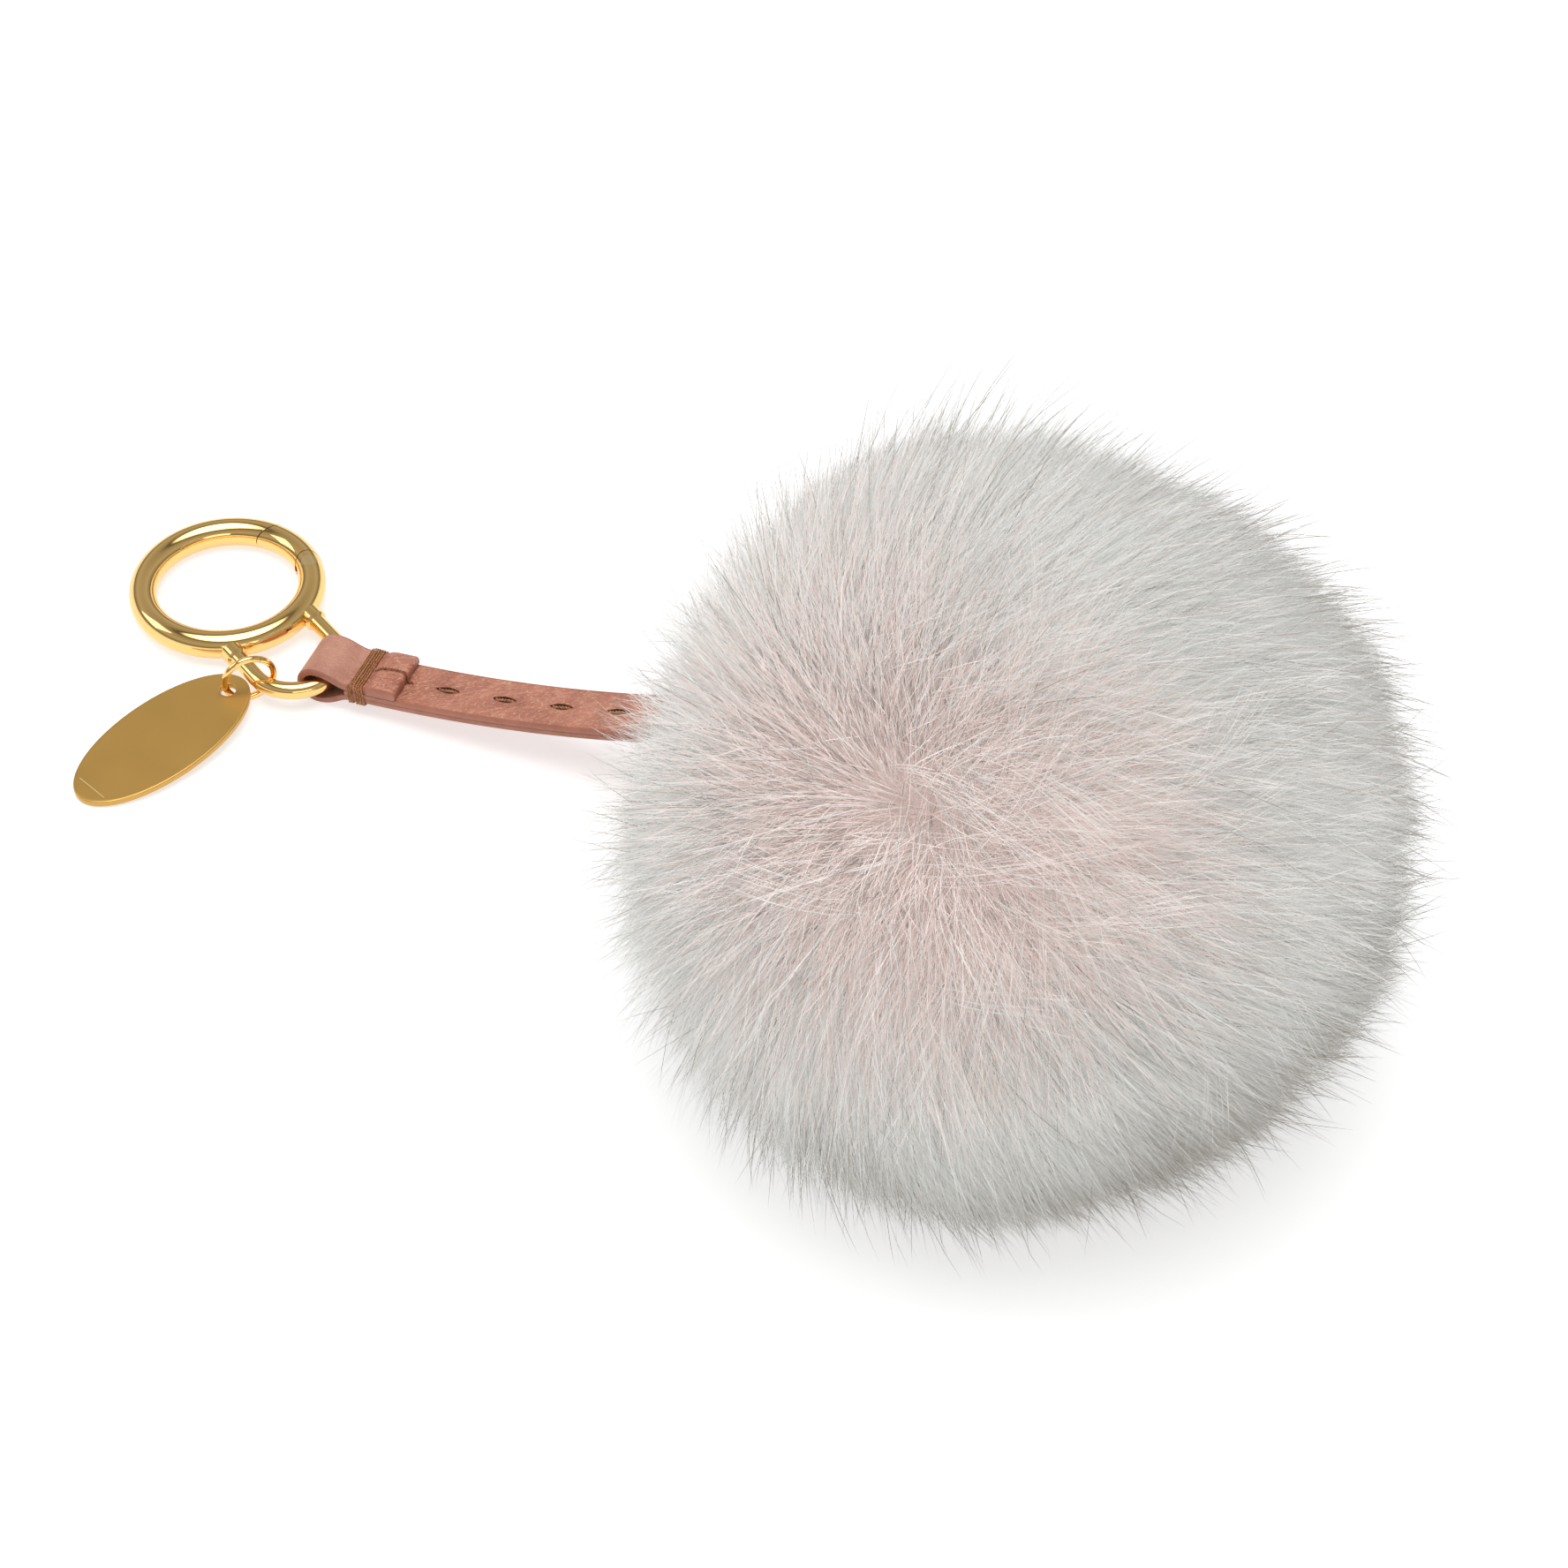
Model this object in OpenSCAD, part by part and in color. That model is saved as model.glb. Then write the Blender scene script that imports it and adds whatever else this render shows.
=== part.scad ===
// Fur pom-pom bag charm: spring-gate ring with a soldered D-loop, jump ring and oval tag,
// leather strap looped round the D-loop, and a gathered fur ball tied to the strap's end.
// Millimetres, +Z up. The origin is the centre of the gate ring, and the piece lies on a table.

/* [Gate ring] */
// Inner diameter of the ring
ring_inner_d = 25; // [22:0.5:28]
// Wire diameter of the ring
ring_wire_d = 5; // [4.6:0.1:5.2]
// Diameter of the hinge pin's shank
pin_d = 1.6; // [1.2:0.1:1.8]
// Thickness of the gate's hinge tongue
tongue_t = 1.6; // [1.2:0.1:1.8]

/* [D-loop and jump ring] */
// Wire diameter of the D-loop
loop_wire_d = 3.1; // [2.6:0.1:3.1]
// Distance between the axes of the D-loop's legs
loop_width = 16; // [15.5:0.1:16.5]
// Wire diameter of the jump ring
jump_wire_d = 1.2; // [1:0.05:1.3]

/* [Tag] */
// Length of the oval tag
tag_l = 37; // [35:0.5:41]
// Width of the oval tag
tag_w = 17.5; // [16:0.5:22]
// Thickness of the oval tag
tag_t = 1.2; // [0.8:0.1:1.3]

/* [Strap] */
// Width of the leather strap
strap_w = 10; // [8:0.5:10]
// Thickness of the leather layer that runs round the loop
under_t = 1.25; // [1:0.05:1.3]
// Thickness of the leather layer on top of the strap
top_t = 1.15; // [1:0.05:1.3]
// Distance between the slits in the strap's top
slit_pitch = 11; // [10:0.5:11.5]

/* [Fur ball] */
// Radius of the fur ball
fur_r = 61; // [58:0.5:62]
// Radius of the leather-backed pelt that holds the stuffing
pelt_r = 26; // [24:0.5:26]

/* [Hidden] */

$fn = 96;
hair = 0.02;              // gap between fixed faces that touch
play = 0.15;              // gap round moving faces
gold = [0.86, 0.67, 0.32];
pink = [0.74, 0.47, 0.42];
brown = [0.45, 0.24, 0.17];
ball_pink = [0.91, 0.86, 0.85];

// The clip (ring and D-loop) lies tipped up by the leather under the D-loop's wire.
ring_r = (ring_inner_d + ring_wire_d) / 2;
wire_r = ring_wire_d / 2;
clip_turn = -54.5;        // plan direction of the D-loop
clip_tip = 1.9;
table_z = -3;
gate_hinge_a = 70.8;      // ring angle of the hinge pin
gate_split_a = 117.1;     // ring angle where the gate's free end meets the ring
split_slant = -33.6;      // the split leans so that the gate swings inwards only
ear_r = 2.6;
tongue_r = 2.3;
pin_r = pin_d / 2;
head_r = 1.5;
head_seat_z = 1.7;
spring_wire_r = 0.14;
spring_r = 1.2;
spring_turns = 2;

// The D-loop: two straight legs and a half circle.
leg_r = loop_wire_d / 2;
bow_r = loop_width / 2;
bow_x = 23.5;
collar_r = 2;

// The jump ring stands upright round the D-loop's near leg, and the tag hangs on it.
jump_r = 4.4;
jump_turn = 21;
jump_x = 24;
jump_y = -9.6;
tag_hole_r = 1.4;
tag_hole_drop = 27;       // angle below level where the tag's hole sits on the jump ring
tag_turn = 45;
tag_tip = 4.03;
tag_edge = 3.6;           // from the hole's centre to the tag's end
tag_bevel = 0.25;

// The strap starts as a loop round the D-loop's bow. Its hinge line lies in the loop.
bow_a = 32.5;             // place of the strap on the D-loop's bow
strap_turn = -22;         // plan direction of the strap
hinge_back = 0.9;         // the hinge line lies this far inside the wire's middle
rise_0 = 6;               // the strap's slope at the loop, and then at the fur
rise_1 = 18;
bend_s = 14;              // the slope grows from here
bend_l = 50;              // over this length
strap_end = 111;
loop_h = 2.5;             // half the loop's inner height
loop_x = -0.75;           // centre of the loop's round end
neck_x = 5.4;             // the loop's leathers meet here
flap_end = 14.8;
thread_r = 0.35;
binding_x = 5.6;
binding_turns = 4;
binding_pitch = 0.78;
slit_first = 22.6;
slit_count = 4;
slit_l = 5.2;
slit_w = 1.5;
cord_hole_s = 108.4;
cord_hole_r = 1.7;
cord_r = 0.8;

// The fur ball: centre in the row frame, and the core's centre beside the strap's end.
fur_c = [134.8, -101, 44];
core_in_strap = [129, -19, 38];
core_gap = 0.2;
skin_t = 1.2;
mouth_r = 6.5;
gather_r = 0.6;
knot_r = 3.2;
swing_room = 14;          // degrees of room for the strap in the fur

// ---- Placing ----
module in_clip() {
    rotate([0, 0, clip_turn]) rotate([0, -clip_tip, 0]) children();
}

// A point of the clip's own frame, in the row frame
function clip_point(p) =
    let (x = p[0] * cos(clip_tip) - p[2] * sin(clip_tip), z = p[0] * sin(clip_tip) + p[2] * cos(clip_tip))
    [x * cos(clip_turn) - p[1] * sin(clip_turn), x * sin(clip_turn) + p[1] * cos(clip_turn), z];

bow_point = clip_point([bow_x + bow_r * cos(bow_a), bow_r * sin(bow_a), 0]);
strap_hinge = bow_point - hinge_back * [cos(strap_turn), sin(strap_turn), 0];

module in_strap() {
    translate(strap_hinge) rotate([0, 0, strap_turn]) children();
}

// The strap's middle line in its own upright plane: straight, a long arc, straight
bend_r = bend_l / ((rise_1 - rise_0) * PI / 180);
function rise(s) = rise_0 + (rise_1 - rise_0) * min(max((s - bend_s) / bend_l, 0), 1);
function line_x(s) =
    s < bend_s ? s * cos(rise_0)
    : bend_s * cos(rise_0) + bend_r * (sin(rise(s)) - sin(rise_0)) + max(s - bend_s - bend_l, 0) * cos(rise_1);
function line_z(s) =
    s < bend_s ? s * sin(rise_0)
    : bend_s * sin(rise_0) + bend_r * (cos(rise_0) - cos(rise(s))) + max(s - bend_s - bend_l, 0) * sin(rise_1);
// A point at s along the strap and h above its middle line
function along(s, h) = [line_x(s) - h * sin(rise(s)), line_z(s) + h * cos(rise(s))];

module at_strap(s, h = 0) {
    translate([along(s, h)[0], 0, along(s, h)[1]]) rotate([0, -rise(s), 0]) children();
}

// Extrudes an outline drawn in the strap's upright plane across the width w
module across(w) {
    rotate([90, 0, 0]) linear_extrude(w, center = true) children();
}

// ---- Tubes along a route ----
function unit(v) = v / norm(v);
function tangent(p, i) = unit(p[min(i + 1, len(p) - 1)] - p[max(i - 1, 0)]);
function side_of(t) = abs(t[2]) > 0.9 ? unit(cross([0, 1, 0], t)) : unit(cross([0, 0, 1], t));
// The ring's first direction, carried along the route so that the tube doesn't twist
function carried(p, i, u) = let (t = tangent(p, i)) unit(u - (u * t) * t);
function frames(p, i = 0, u = undef) =
    i == len(p) ? [] :
    let (v = is_undef(u) ? side_of(tangent(p, 0)) : carried(p, i, u))
    concat([v], frames(p, i + 1, v));

module tube(p, r, sides = 8) {
    f = frames(p);
    n = len(p);
    points = [for (i = [0 : n - 1], k = [0 : sides - 1])
        let (t = tangent(p, i), w = cross(t, f[i]), a = 360 * k / sides)
        p[i] + r * (cos(a) * f[i] + sin(a) * w)];
    walls = [for (i = [0 : n - 2], k = [0 : sides - 1])
        let (j = (k + 1) % sides)
        [i * sides + k, (i + 1) * sides + k, (i + 1) * sides + j, i * sides + j]];
    first = [for (k = [0 : sides - 1]) k];
    last = [for (k = [sides - 1 : -1 : 0]) (n - 1) * sides + k];
    polyhedron(points, concat(walls, [first, last]));
}

// ---- Gate ring ----
module wire_arc(from, to, r = wire_r) {
    rotate([0, 0, from]) rotate_extrude(angle = to - from) translate([ring_r, 0]) circle(r);
}

module at_hinge() {
    rotate([0, 0, gate_hinge_a]) translate([ring_r, 0, 0]) children();
}

// Everything on one side of the slanted split, with half the play: side 1 is the ring's end,
// side -1 the gate's
split_cut = [12, 9, 8];
module split_side(side) {
    rotate([0, 0, gate_split_a]) translate([ring_r, 0, 0]) rotate([0, 0, split_slant])
        translate([0, side * (split_cut[1] - play) / 2, 0]) cube(split_cut, center = true);
}

// The part of the wire past the hinge pin that the round ears leave free
module past_ears() at_hinge() difference() {
    translate([-4, 0, -4]) cube([8, 6, 8]);
    cylinder(r = ear_r, h = 10, center = true);
}

module ring_body() color(gold) in_clip() {
    difference() {
        wire_arc(gate_split_a - 9, gate_hinge_a + 372);
        past_ears();
        split_side(-1);
        at_hinge() {
            cylinder(r = ear_r + play, h = tongue_t + 2 * play, center = true);
            cylinder(r = pin_r + hair, h = 8, center = true);
            translate([0, 0, head_seat_z]) cylinder(r = head_r + hair, h = 4);
        }
    }
}

module ring_gate() color(gold) in_clip() {
    difference() {
        union() {
            difference() {
                wire_arc(gate_hinge_a, gate_split_a + 9);
                split_side(1);
                at_hinge() cylinder(r = ear_r + play, h = 8, center = true);
            }
            intersection() {
                wire_arc(gate_hinge_a - 12, gate_hinge_a + 14);
                union() {
                    at_hinge() cylinder(r = tongue_r, h = tongue_t, center = true);
                    at_hinge() translate([-tongue_r, 0, -tongue_t / 2])
                        cube([2 * tongue_r, ear_r + 0.6, tongue_t]);
                }
            }
        }
        at_hinge() {
            cylinder(r = pin_r + 0.05, h = 8, center = true);
            cylinder(r = spring_r + 0.35, h = tongue_t);
        }
    }
}

module gate_pin() color(gold) in_clip() {
    intersection() {
        wire_arc(gate_hinge_a - 12, gate_hinge_a + 12);
        at_hinge() {
            cylinder(r = pin_r, h = 8, center = true);
            translate([0, 0, head_seat_z + hair]) cylinder(r = head_r, h = 4);
        }
    }
}

// A small torsion spring round the pin, in the tongue's recess
module gate_spring() color([0.75, 0.75, 0.77]) in_clip() at_hinge() {
    steps = 20 * spring_turns;
    pitch = 2.2 * spring_wire_r;
    tube([for (i = [0 : steps])
        let (a = 360 * spring_turns * i / steps)
        [spring_r * cos(a), spring_r * sin(a), 0.05 + spring_wire_r + pitch * spring_turns * i / steps]],
        spring_wire_r, 6);
}

// ---- D-loop, jump ring and tag ----
module d_loop() color(gold) in_clip() {
    difference() {
        union() {
            translate([bow_x, 0, 0]) rotate([0, 0, -90]) rotate_extrude(angle = 180)
                translate([bow_r, 0]) circle(leg_r);
            for (side = [-1, 1]) translate([ring_r, side * bow_r, 0]) rotate([0, 90, 0]) {
                cylinder(r = leg_r, h = bow_x - ring_r);
                cylinder(r = collar_r, h = 2.1);
                translate([0, 0, 2.1]) cylinder(r1 = collar_r, r2 = leg_r, h = 0.5);
            }
        }
        wire_arc(-60, 60, wire_r + hair);
    }
}

jump_ground = clip_point([jump_x, jump_y, 0]);
jump_c = [jump_ground[0], jump_ground[1], table_z + jump_r + jump_wire_d / 2 + 0.02];

module jump_ring() color(gold) {
    // The butt joint stays away from both the D-loop and the tag
    translate(jump_c) rotate([0, 0, jump_turn]) rotate([90, 0, 0]) rotate([0, 0, 62])
        rotate_extrude(angle = 358.6) translate([jump_r, 0]) circle(jump_wire_d / 2);
}

tag_hole = jump_c
    - jump_r * cos(tag_hole_drop) * [cos(jump_turn), sin(jump_turn), 0]
    - jump_r * sin(tag_hole_drop) * [0, 0, 1];

module oval(inset) {
    polygon([for (i = [0 : 95])
        [(tag_l / 2 - inset) * cos(i * 3.75), (tag_w / 2 - inset) * sin(i * 3.75)]]);
}

module tag() color(gold)
    translate(tag_hole) rotate([0, 0, tag_turn]) rotate([0, -tag_tip, 0]) difference() {
        translate([tag_edge - tag_l / 2, 0, -tag_t / 2]) {
            linear_extrude(tag_t) oval(tag_bevel);
            translate([0, 0, tag_bevel]) linear_extrude(tag_t - 2 * tag_bevel) oval(0);
        }
        cylinder(r = tag_hole_r, h = 4, center = true);
    }

// ---- Strap ----
// The under layer's middle line, h either side of the strap's: back from its far end, round
// the loop and out to the flap's end
mid_h = (top_t + under_t) / 2;
fold_r = loop_h + under_t / 2;
function bezier(a, b, c, d, t) =
    (1 - t) ^ 3 * a + 3 * (1 - t) ^ 2 * t * b + 3 * (1 - t) * t ^ 2 * c + t ^ 3 * d;
function branch(side, t) = bezier([neck_x, side * mid_h], [neck_x - 2, side * mid_h],
    [2.2, side * fold_r], [loop_x, side * fold_r], t);
under_line = concat(
    [for (s = [strap_end, bend_s + bend_l]) [s, -mid_h]],
    [for (i = [15 : -1 : 0]) [bend_s + bend_l * i / 16, -mid_h]],
    [for (i = [0 : 9]) branch(-1, i / 10)],
    [for (a = [-90 : -10 : -270]) [loop_x + fold_r * cos(a), fold_r * sin(a)]],
    [for (i = [9 : -1 : 0]) branch(1, i / 10)],
    [[flap_end, mid_h]]
);
function line_dir(p, i) = unit(p[min(i + 1, len(p) - 1)] - p[max(i - 1, 0)]);
// The line moved sideways by d, and then laid along the strap
function beside(p, d) = [for (i = [0 : len(p) - 1])
    let (t = line_dir(p, i), q = p[i] + d * [-t[1], t[0]]) bent(q)];
function bent(q) = q[0] < 0
    ? [q[0] * cos(rise_0) - q[1] * sin(rise_0), q[0] * sin(rise_0) + q[1] * cos(rise_0)]
    : along(q[0], q[1]);
function reversed(p) = [for (i = [len(p) - 1 : -1 : 0]) p[i]];

module layer(p, thickness, w = strap_w) {
    across(w) polygon(concat(beside(p, thickness / 2), reversed(beside(p, -thickness / 2))));
}

module cord_hole() {
    at_strap(cord_hole_s) cylinder(r = cord_hole_r, h = 12, center = true);
}

module strap_under() color(pink) in_strap() difference() {
    layer(under_line, under_t - hair);
    cord_hole();
}

top_line = concat(
    [[neck_x - 0.8, 0]],
    [for (i = [0 : 16]) [bend_s + bend_l * i / 16, 0]],
    [[strap_end, 0]]
);

// A lens-shaped slit: where two round cuts overlap
slit_r = (slit_l ^ 2 / 4 + slit_w ^ 2 / 4) / slit_w;
module slit() intersection_for (side = [-1, 1]) {
    translate([0, side * (slit_r - slit_w / 2), -0.2]) cylinder(r = slit_r, h = 3);
}

module strap_top() color(pink) in_strap() difference() {
    layer(top_line, top_t - hair);
    for (i = [0 : slit_count - 1]) at_strap(slit_first + i * slit_pitch) slit();
    cord_hole();
}

// ---- Threads ----
stack_h = mid_h + under_t / 2 + thread_r + hair;
wrap_w = strap_w / 2 + thread_r + hair;
wrap_corner = 0.08;       // near 0 the wrap follows the leather's square corners
// One turn of the binding: a rounded rectangle round the stacked leathers
function wrap_point(a) =
    let (c = cos(a), s = sin(a))
    [sign(c) * abs(c) ^ wrap_corner * wrap_w, sign(s) * abs(s) ^ wrap_corner * stack_h];

module neck_binding() color(brown) in_strap() at_strap(0) {
    steps = 20;
    tube([for (i = [0 : steps * binding_turns])
        let (q = wrap_point(360 * i / steps + 9))
        [binding_x + binding_pitch * i / steps, q[0], q[1]]], thread_r, 6);
}

module flap_stitch() color(brown) in_strap() at_strap(0) {
    top = stack_h + hair;
    start_x = binding_x + binding_turns * binding_pitch + 2 * thread_r + 0.1;
    over = flap_end + thread_r + 3 * hair;
    low = top_t / 2 + thread_r + 2 * hair;
    tube([[start_x, 0, top], [flap_end - 1, 0, top], [flap_end - 0.2, 0, top - 0.02],
        [over, 0, top - 0.5], [over + 0.05, 0, low + 0.4], [over + 0.5, 0, low], [over + 1.2, 0, low]],
        thread_r - 0.05, 6);
}

module slit_stitches() color(brown) in_strap()
    for (i = [0 : slit_count - 1]) at_strap(slit_first + i * slit_pitch, 0.2)
        rotate([0, 90, 0]) cylinder(r = 0.3, h = slit_l - 1.6, center = true);

// ---- Fur ball ----
module in_core() in_strap() translate(core_in_strap) children();

// The cord's hole in the strap, in the strap's frame, and the way from the core to it
hole_p = [along(cord_hole_s, 0)[0], 0, along(cord_hole_s, 0)[1]];
mouth_v = unit(hole_p - core_in_strap);
mouth_turn = atan2(mouth_v[1], mouth_v[0]);
mouth_tip = acos(mouth_v[2]);
module to_mouth() {
    rotate([0, mouth_tip, 0]) children();
}
module in_mouth() in_core() rotate([0, 0, mouth_turn]) to_mouth() children();
knot_d = pelt_r - 7;      // from the core's centre to the knot

// The cord: from the knot, over the strap's end, down its hole and back under it
knot_p = core_in_strap + knot_d * mouth_v - hole_p;
knot_in_strap = [knot_p[0] * cos(rise_1) + knot_p[2] * sin(rise_1), knot_p[1],
                 knot_p[2] * cos(rise_1) - knot_p[0] * sin(rise_1)];
function strand(side) = [
    [0, 0, side * 1.4], [0.3, 0, side * 2.4], [1.1, 0, side * 3.1], [2.3, -0.1, side * 3.3],
    [4, -0.6, side * 3.1], knot_in_strap * 0.55 + [0, 0, side * 2.5],
    knot_in_strap * 0.8 + [0, 0, side * 1.9], knot_in_strap + [0, 0, side * 1.3]];

module pom_cord() color([0.9, 0.88, 0.85]) in_strap() at_strap(cord_hole_s)
    tube(concat(reversed(strand(1)), [[0, 0, 0]], strand(-1)), cord_r);

module cord_knot() color([0.9, 0.88, 0.85]) in_mouth()
    translate([0, 0, knot_d]) sphere(r = knot_r);

module core_stuffing() color([0.95, 0.95, 0.93]) in_mouth() difference() {
    sphere(r = pelt_r - skin_t - core_gap);
    translate([0, 0, knot_d]) sphere(r = knot_r + core_gap);
    translate([0, 0, knot_d]) cylinder(r = knot_r + core_gap, h = pelt_r);
}

module pelt_skin() color([0.86, 0.72, 0.68]) in_mouth() difference() {
    sphere(r = pelt_r);
    sphere(r = pelt_r - skin_t);
    cylinder(r = mouth_r, h = 2 * pelt_r);
}

module gather_thread() color(brown) in_mouth()
    translate([0, 0, sqrt((pelt_r - skin_t / 2) ^ 2 - mouth_r ^ 2) + 0.1]) rotate_extrude()
        translate([mouth_r - gather_r - 0.1, 0]) circle(gather_r);

// The space that the strap's end sweeps as the ball swings on its cord
module strap_room() in_strap() at_strap(cord_hole_s) across(strap_w + 1.6) {
    far = 60;
    spread = far * tan(swing_room);
    polygon([[5.5, -4.6], [5.5, 4.6], [0, 4.6], [-far, 1.6 + spread], [-far, -1.6 - spread], [0, -4.6]]);
}

module pom_fur() color(ball_pink) difference() {
    translate(fur_c) sphere(r = fur_r);
    in_core() sphere(r = pelt_r + core_gap);
    strap_room();
    in_mouth() cylinder(r = mouth_r, h = pelt_r + 8);
    translate([fur_c[0] - 100, fur_c[1] - 100, table_z - 100 + 0.03]) cube([200, 200, 100]);
}

ring_body();
ring_gate();
gate_pin();
gate_spring();
d_loop();
jump_ring();
tag();
strap_under();
strap_top();
neck_binding();
flap_stitch();
slit_stitches();
pom_cord();
cord_knot();
gather_thread();
pelt_skin();
core_stuffing();
pom_fur();
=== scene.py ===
"""The looks of a fur pom-pom bag charm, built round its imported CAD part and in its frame."""
import math

import bpy
import numpy as np
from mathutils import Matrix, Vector


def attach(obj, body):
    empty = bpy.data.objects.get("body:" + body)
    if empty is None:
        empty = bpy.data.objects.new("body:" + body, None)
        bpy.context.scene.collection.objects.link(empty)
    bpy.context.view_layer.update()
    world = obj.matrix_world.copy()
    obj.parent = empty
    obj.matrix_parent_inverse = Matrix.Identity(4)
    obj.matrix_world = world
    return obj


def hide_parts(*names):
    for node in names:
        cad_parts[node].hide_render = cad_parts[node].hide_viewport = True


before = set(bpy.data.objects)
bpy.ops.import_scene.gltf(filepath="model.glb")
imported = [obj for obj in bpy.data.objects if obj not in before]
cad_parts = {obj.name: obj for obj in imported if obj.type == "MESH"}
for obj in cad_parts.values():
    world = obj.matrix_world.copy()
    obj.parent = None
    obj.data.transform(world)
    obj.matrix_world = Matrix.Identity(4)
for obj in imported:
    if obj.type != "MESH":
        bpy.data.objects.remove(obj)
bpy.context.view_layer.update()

MM = 0.001
TABLE = -3.0


# ---------------------------------------------------------------- small helpers
def new_object(name, mesh, materials, body, replaces=()):
    obj = bpy.data.objects.new(name, mesh)
    bpy.context.scene.collection.objects.link(obj)
    for m in materials:
        mesh.materials.append(m)
    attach(obj, body)
    if replaces:
        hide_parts(*replaces)
    return obj


def fast_mesh(name, points, faces, sizes, slots=None):
    """A smooth mesh from arrays: points in mm, flat vertex numbers, and the corners and slot of each face."""
    mesh = bpy.data.meshes.new(name)
    mesh.vertices.add(len(points))
    mesh.vertices.foreach_set("co", (np.asarray(points, dtype=np.float32) * MM).ravel())
    mesh.loops.add(len(faces))
    mesh.loops.foreach_set("vertex_index", np.asarray(faces, dtype=np.int32))
    mesh.polygons.add(len(sizes))
    starts = np.concatenate([[0], np.cumsum(sizes)[:-1]]).astype(np.int32)
    mesh.polygons.foreach_set("loop_start", starts)
    if slots is not None:
        mesh.polygons.foreach_set("material_index", np.asarray(slots, dtype=np.int32))
    mesh.polygons.foreach_set("use_smooth", np.full(len(sizes), True))
    mesh.update(calc_edges=True)
    return mesh


def grid_faces(rows, cols, start=0):
    """Quads over a grid of rows x cols vertices whose rows are closed rings."""
    i = np.arange(rows - 1)[:, None]
    j = np.arange(cols)[None, :]
    k = (j + 1) % cols
    quads = np.stack([i * cols + j, i * cols + k, (i + 1) * cols + k, (i + 1) * cols + j], axis=-1)
    return (quads + start).reshape(-1, 4)


def unit(v):
    return v / np.maximum(np.linalg.norm(v, axis=-1, keepdims=True), 1e-12)


def smooth_step(a, b, x):
    t = np.clip((x - a) / (b - a), 0, 1)
    return t * t * (3 - 2 * t)


# ---------------------------------------------------------------- materials
def principled(name, colour, roughness, metallic=0.0, **sockets):
    m = bpy.data.materials.new(name)
    m.use_nodes = True
    b = shader(m)
    b.inputs["Base Color"].default_value = (*colour, 1)
    b.inputs["Roughness"].default_value = roughness
    b.inputs["Metallic"].default_value = metallic
    for key, value in sockets.items():
        b.inputs[key.replace("_", " ")].default_value = value
    return m


def node(m, kind, **values):
    n = m.node_tree.nodes.new(kind)
    for key, value in values.items():
        if hasattr(n, key):
            setattr(n, key, value)
        else:
            n.inputs[key.replace("_", " ")].default_value = value
    return n


def link(m, a, out, b, into):
    m.node_tree.links.new(a.outputs[out], b.inputs[into])


def shader(m):
    return m.node_tree.nodes["Principled BSDF"]


def ramp(m, stops):
    n = m.node_tree.nodes.new("ShaderNodeValToRGB")
    e = n.color_ramp.elements
    while len(e) < len(stops):
        e.new(0.5)
    for stop, (at, c) in zip(e, stops):
        stop.position = at
        stop.color = (*c, 1)
    return n


def bumped(m, source, out, strength, distance):
    """Gives the material a bump whose height is one of source's outputs."""
    h = node(m, "ShaderNodeBump", Strength=strength, Distance=distance)
    link(m, source, out, h, "Height")
    link(m, h, "Normal", shader(m), "Normal")


def mottled(m, dark, light, size, detail=4.0):
    """Gives the material a base colour that a noise carries from dark to light. Returns the noise."""
    at = node(m, "ShaderNodeTexCoord")
    noise = node(m, "ShaderNodeTexNoise", Scale=size, Detail=detail)
    link(m, at, "Object", noise, "Vector")
    tone = ramp(m, [(0.3, dark), (0.7, light)])
    link(m, noise, "Fac", tone, "Fac")
    link(m, tone, "Color", shader(m), "Base Color")
    return noise


def grey(v):
    return (v, v, v)


def metal(name, colour, rough_low, rough_high, grain=2500.0, bump=0.01):
    """Metal with fine wear: roughness that varies a little, and a very faint bump."""
    m = principled(name, colour, rough_low, 1.0)
    at = node(m, "ShaderNodeTexCoord")
    broad = node(m, "ShaderNodeTexNoise", Scale=140.0, Detail=3.0)
    fine = node(m, "ShaderNodeTexNoise", Scale=grain, Detail=4.0)
    link(m, at, "Object", broad, "Vector")
    link(m, at, "Object", fine, "Vector")
    mixed = node(m, "ShaderNodeMix", data_type="FLOAT")
    mixed.inputs[0].default_value = 0.4
    link(m, broad, "Fac", mixed, 2)
    link(m, fine, "Fac", mixed, 3)
    r = ramp(m, [(0.3, grey(rough_low)), (0.75, grey(rough_high))])
    link(m, mixed, 0, r, "Fac")
    link(m, r, "Color", shader(m), "Roughness")
    if bump:
        bumped(m, fine, "Fac", bump, 0.0002)
    return m


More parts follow.
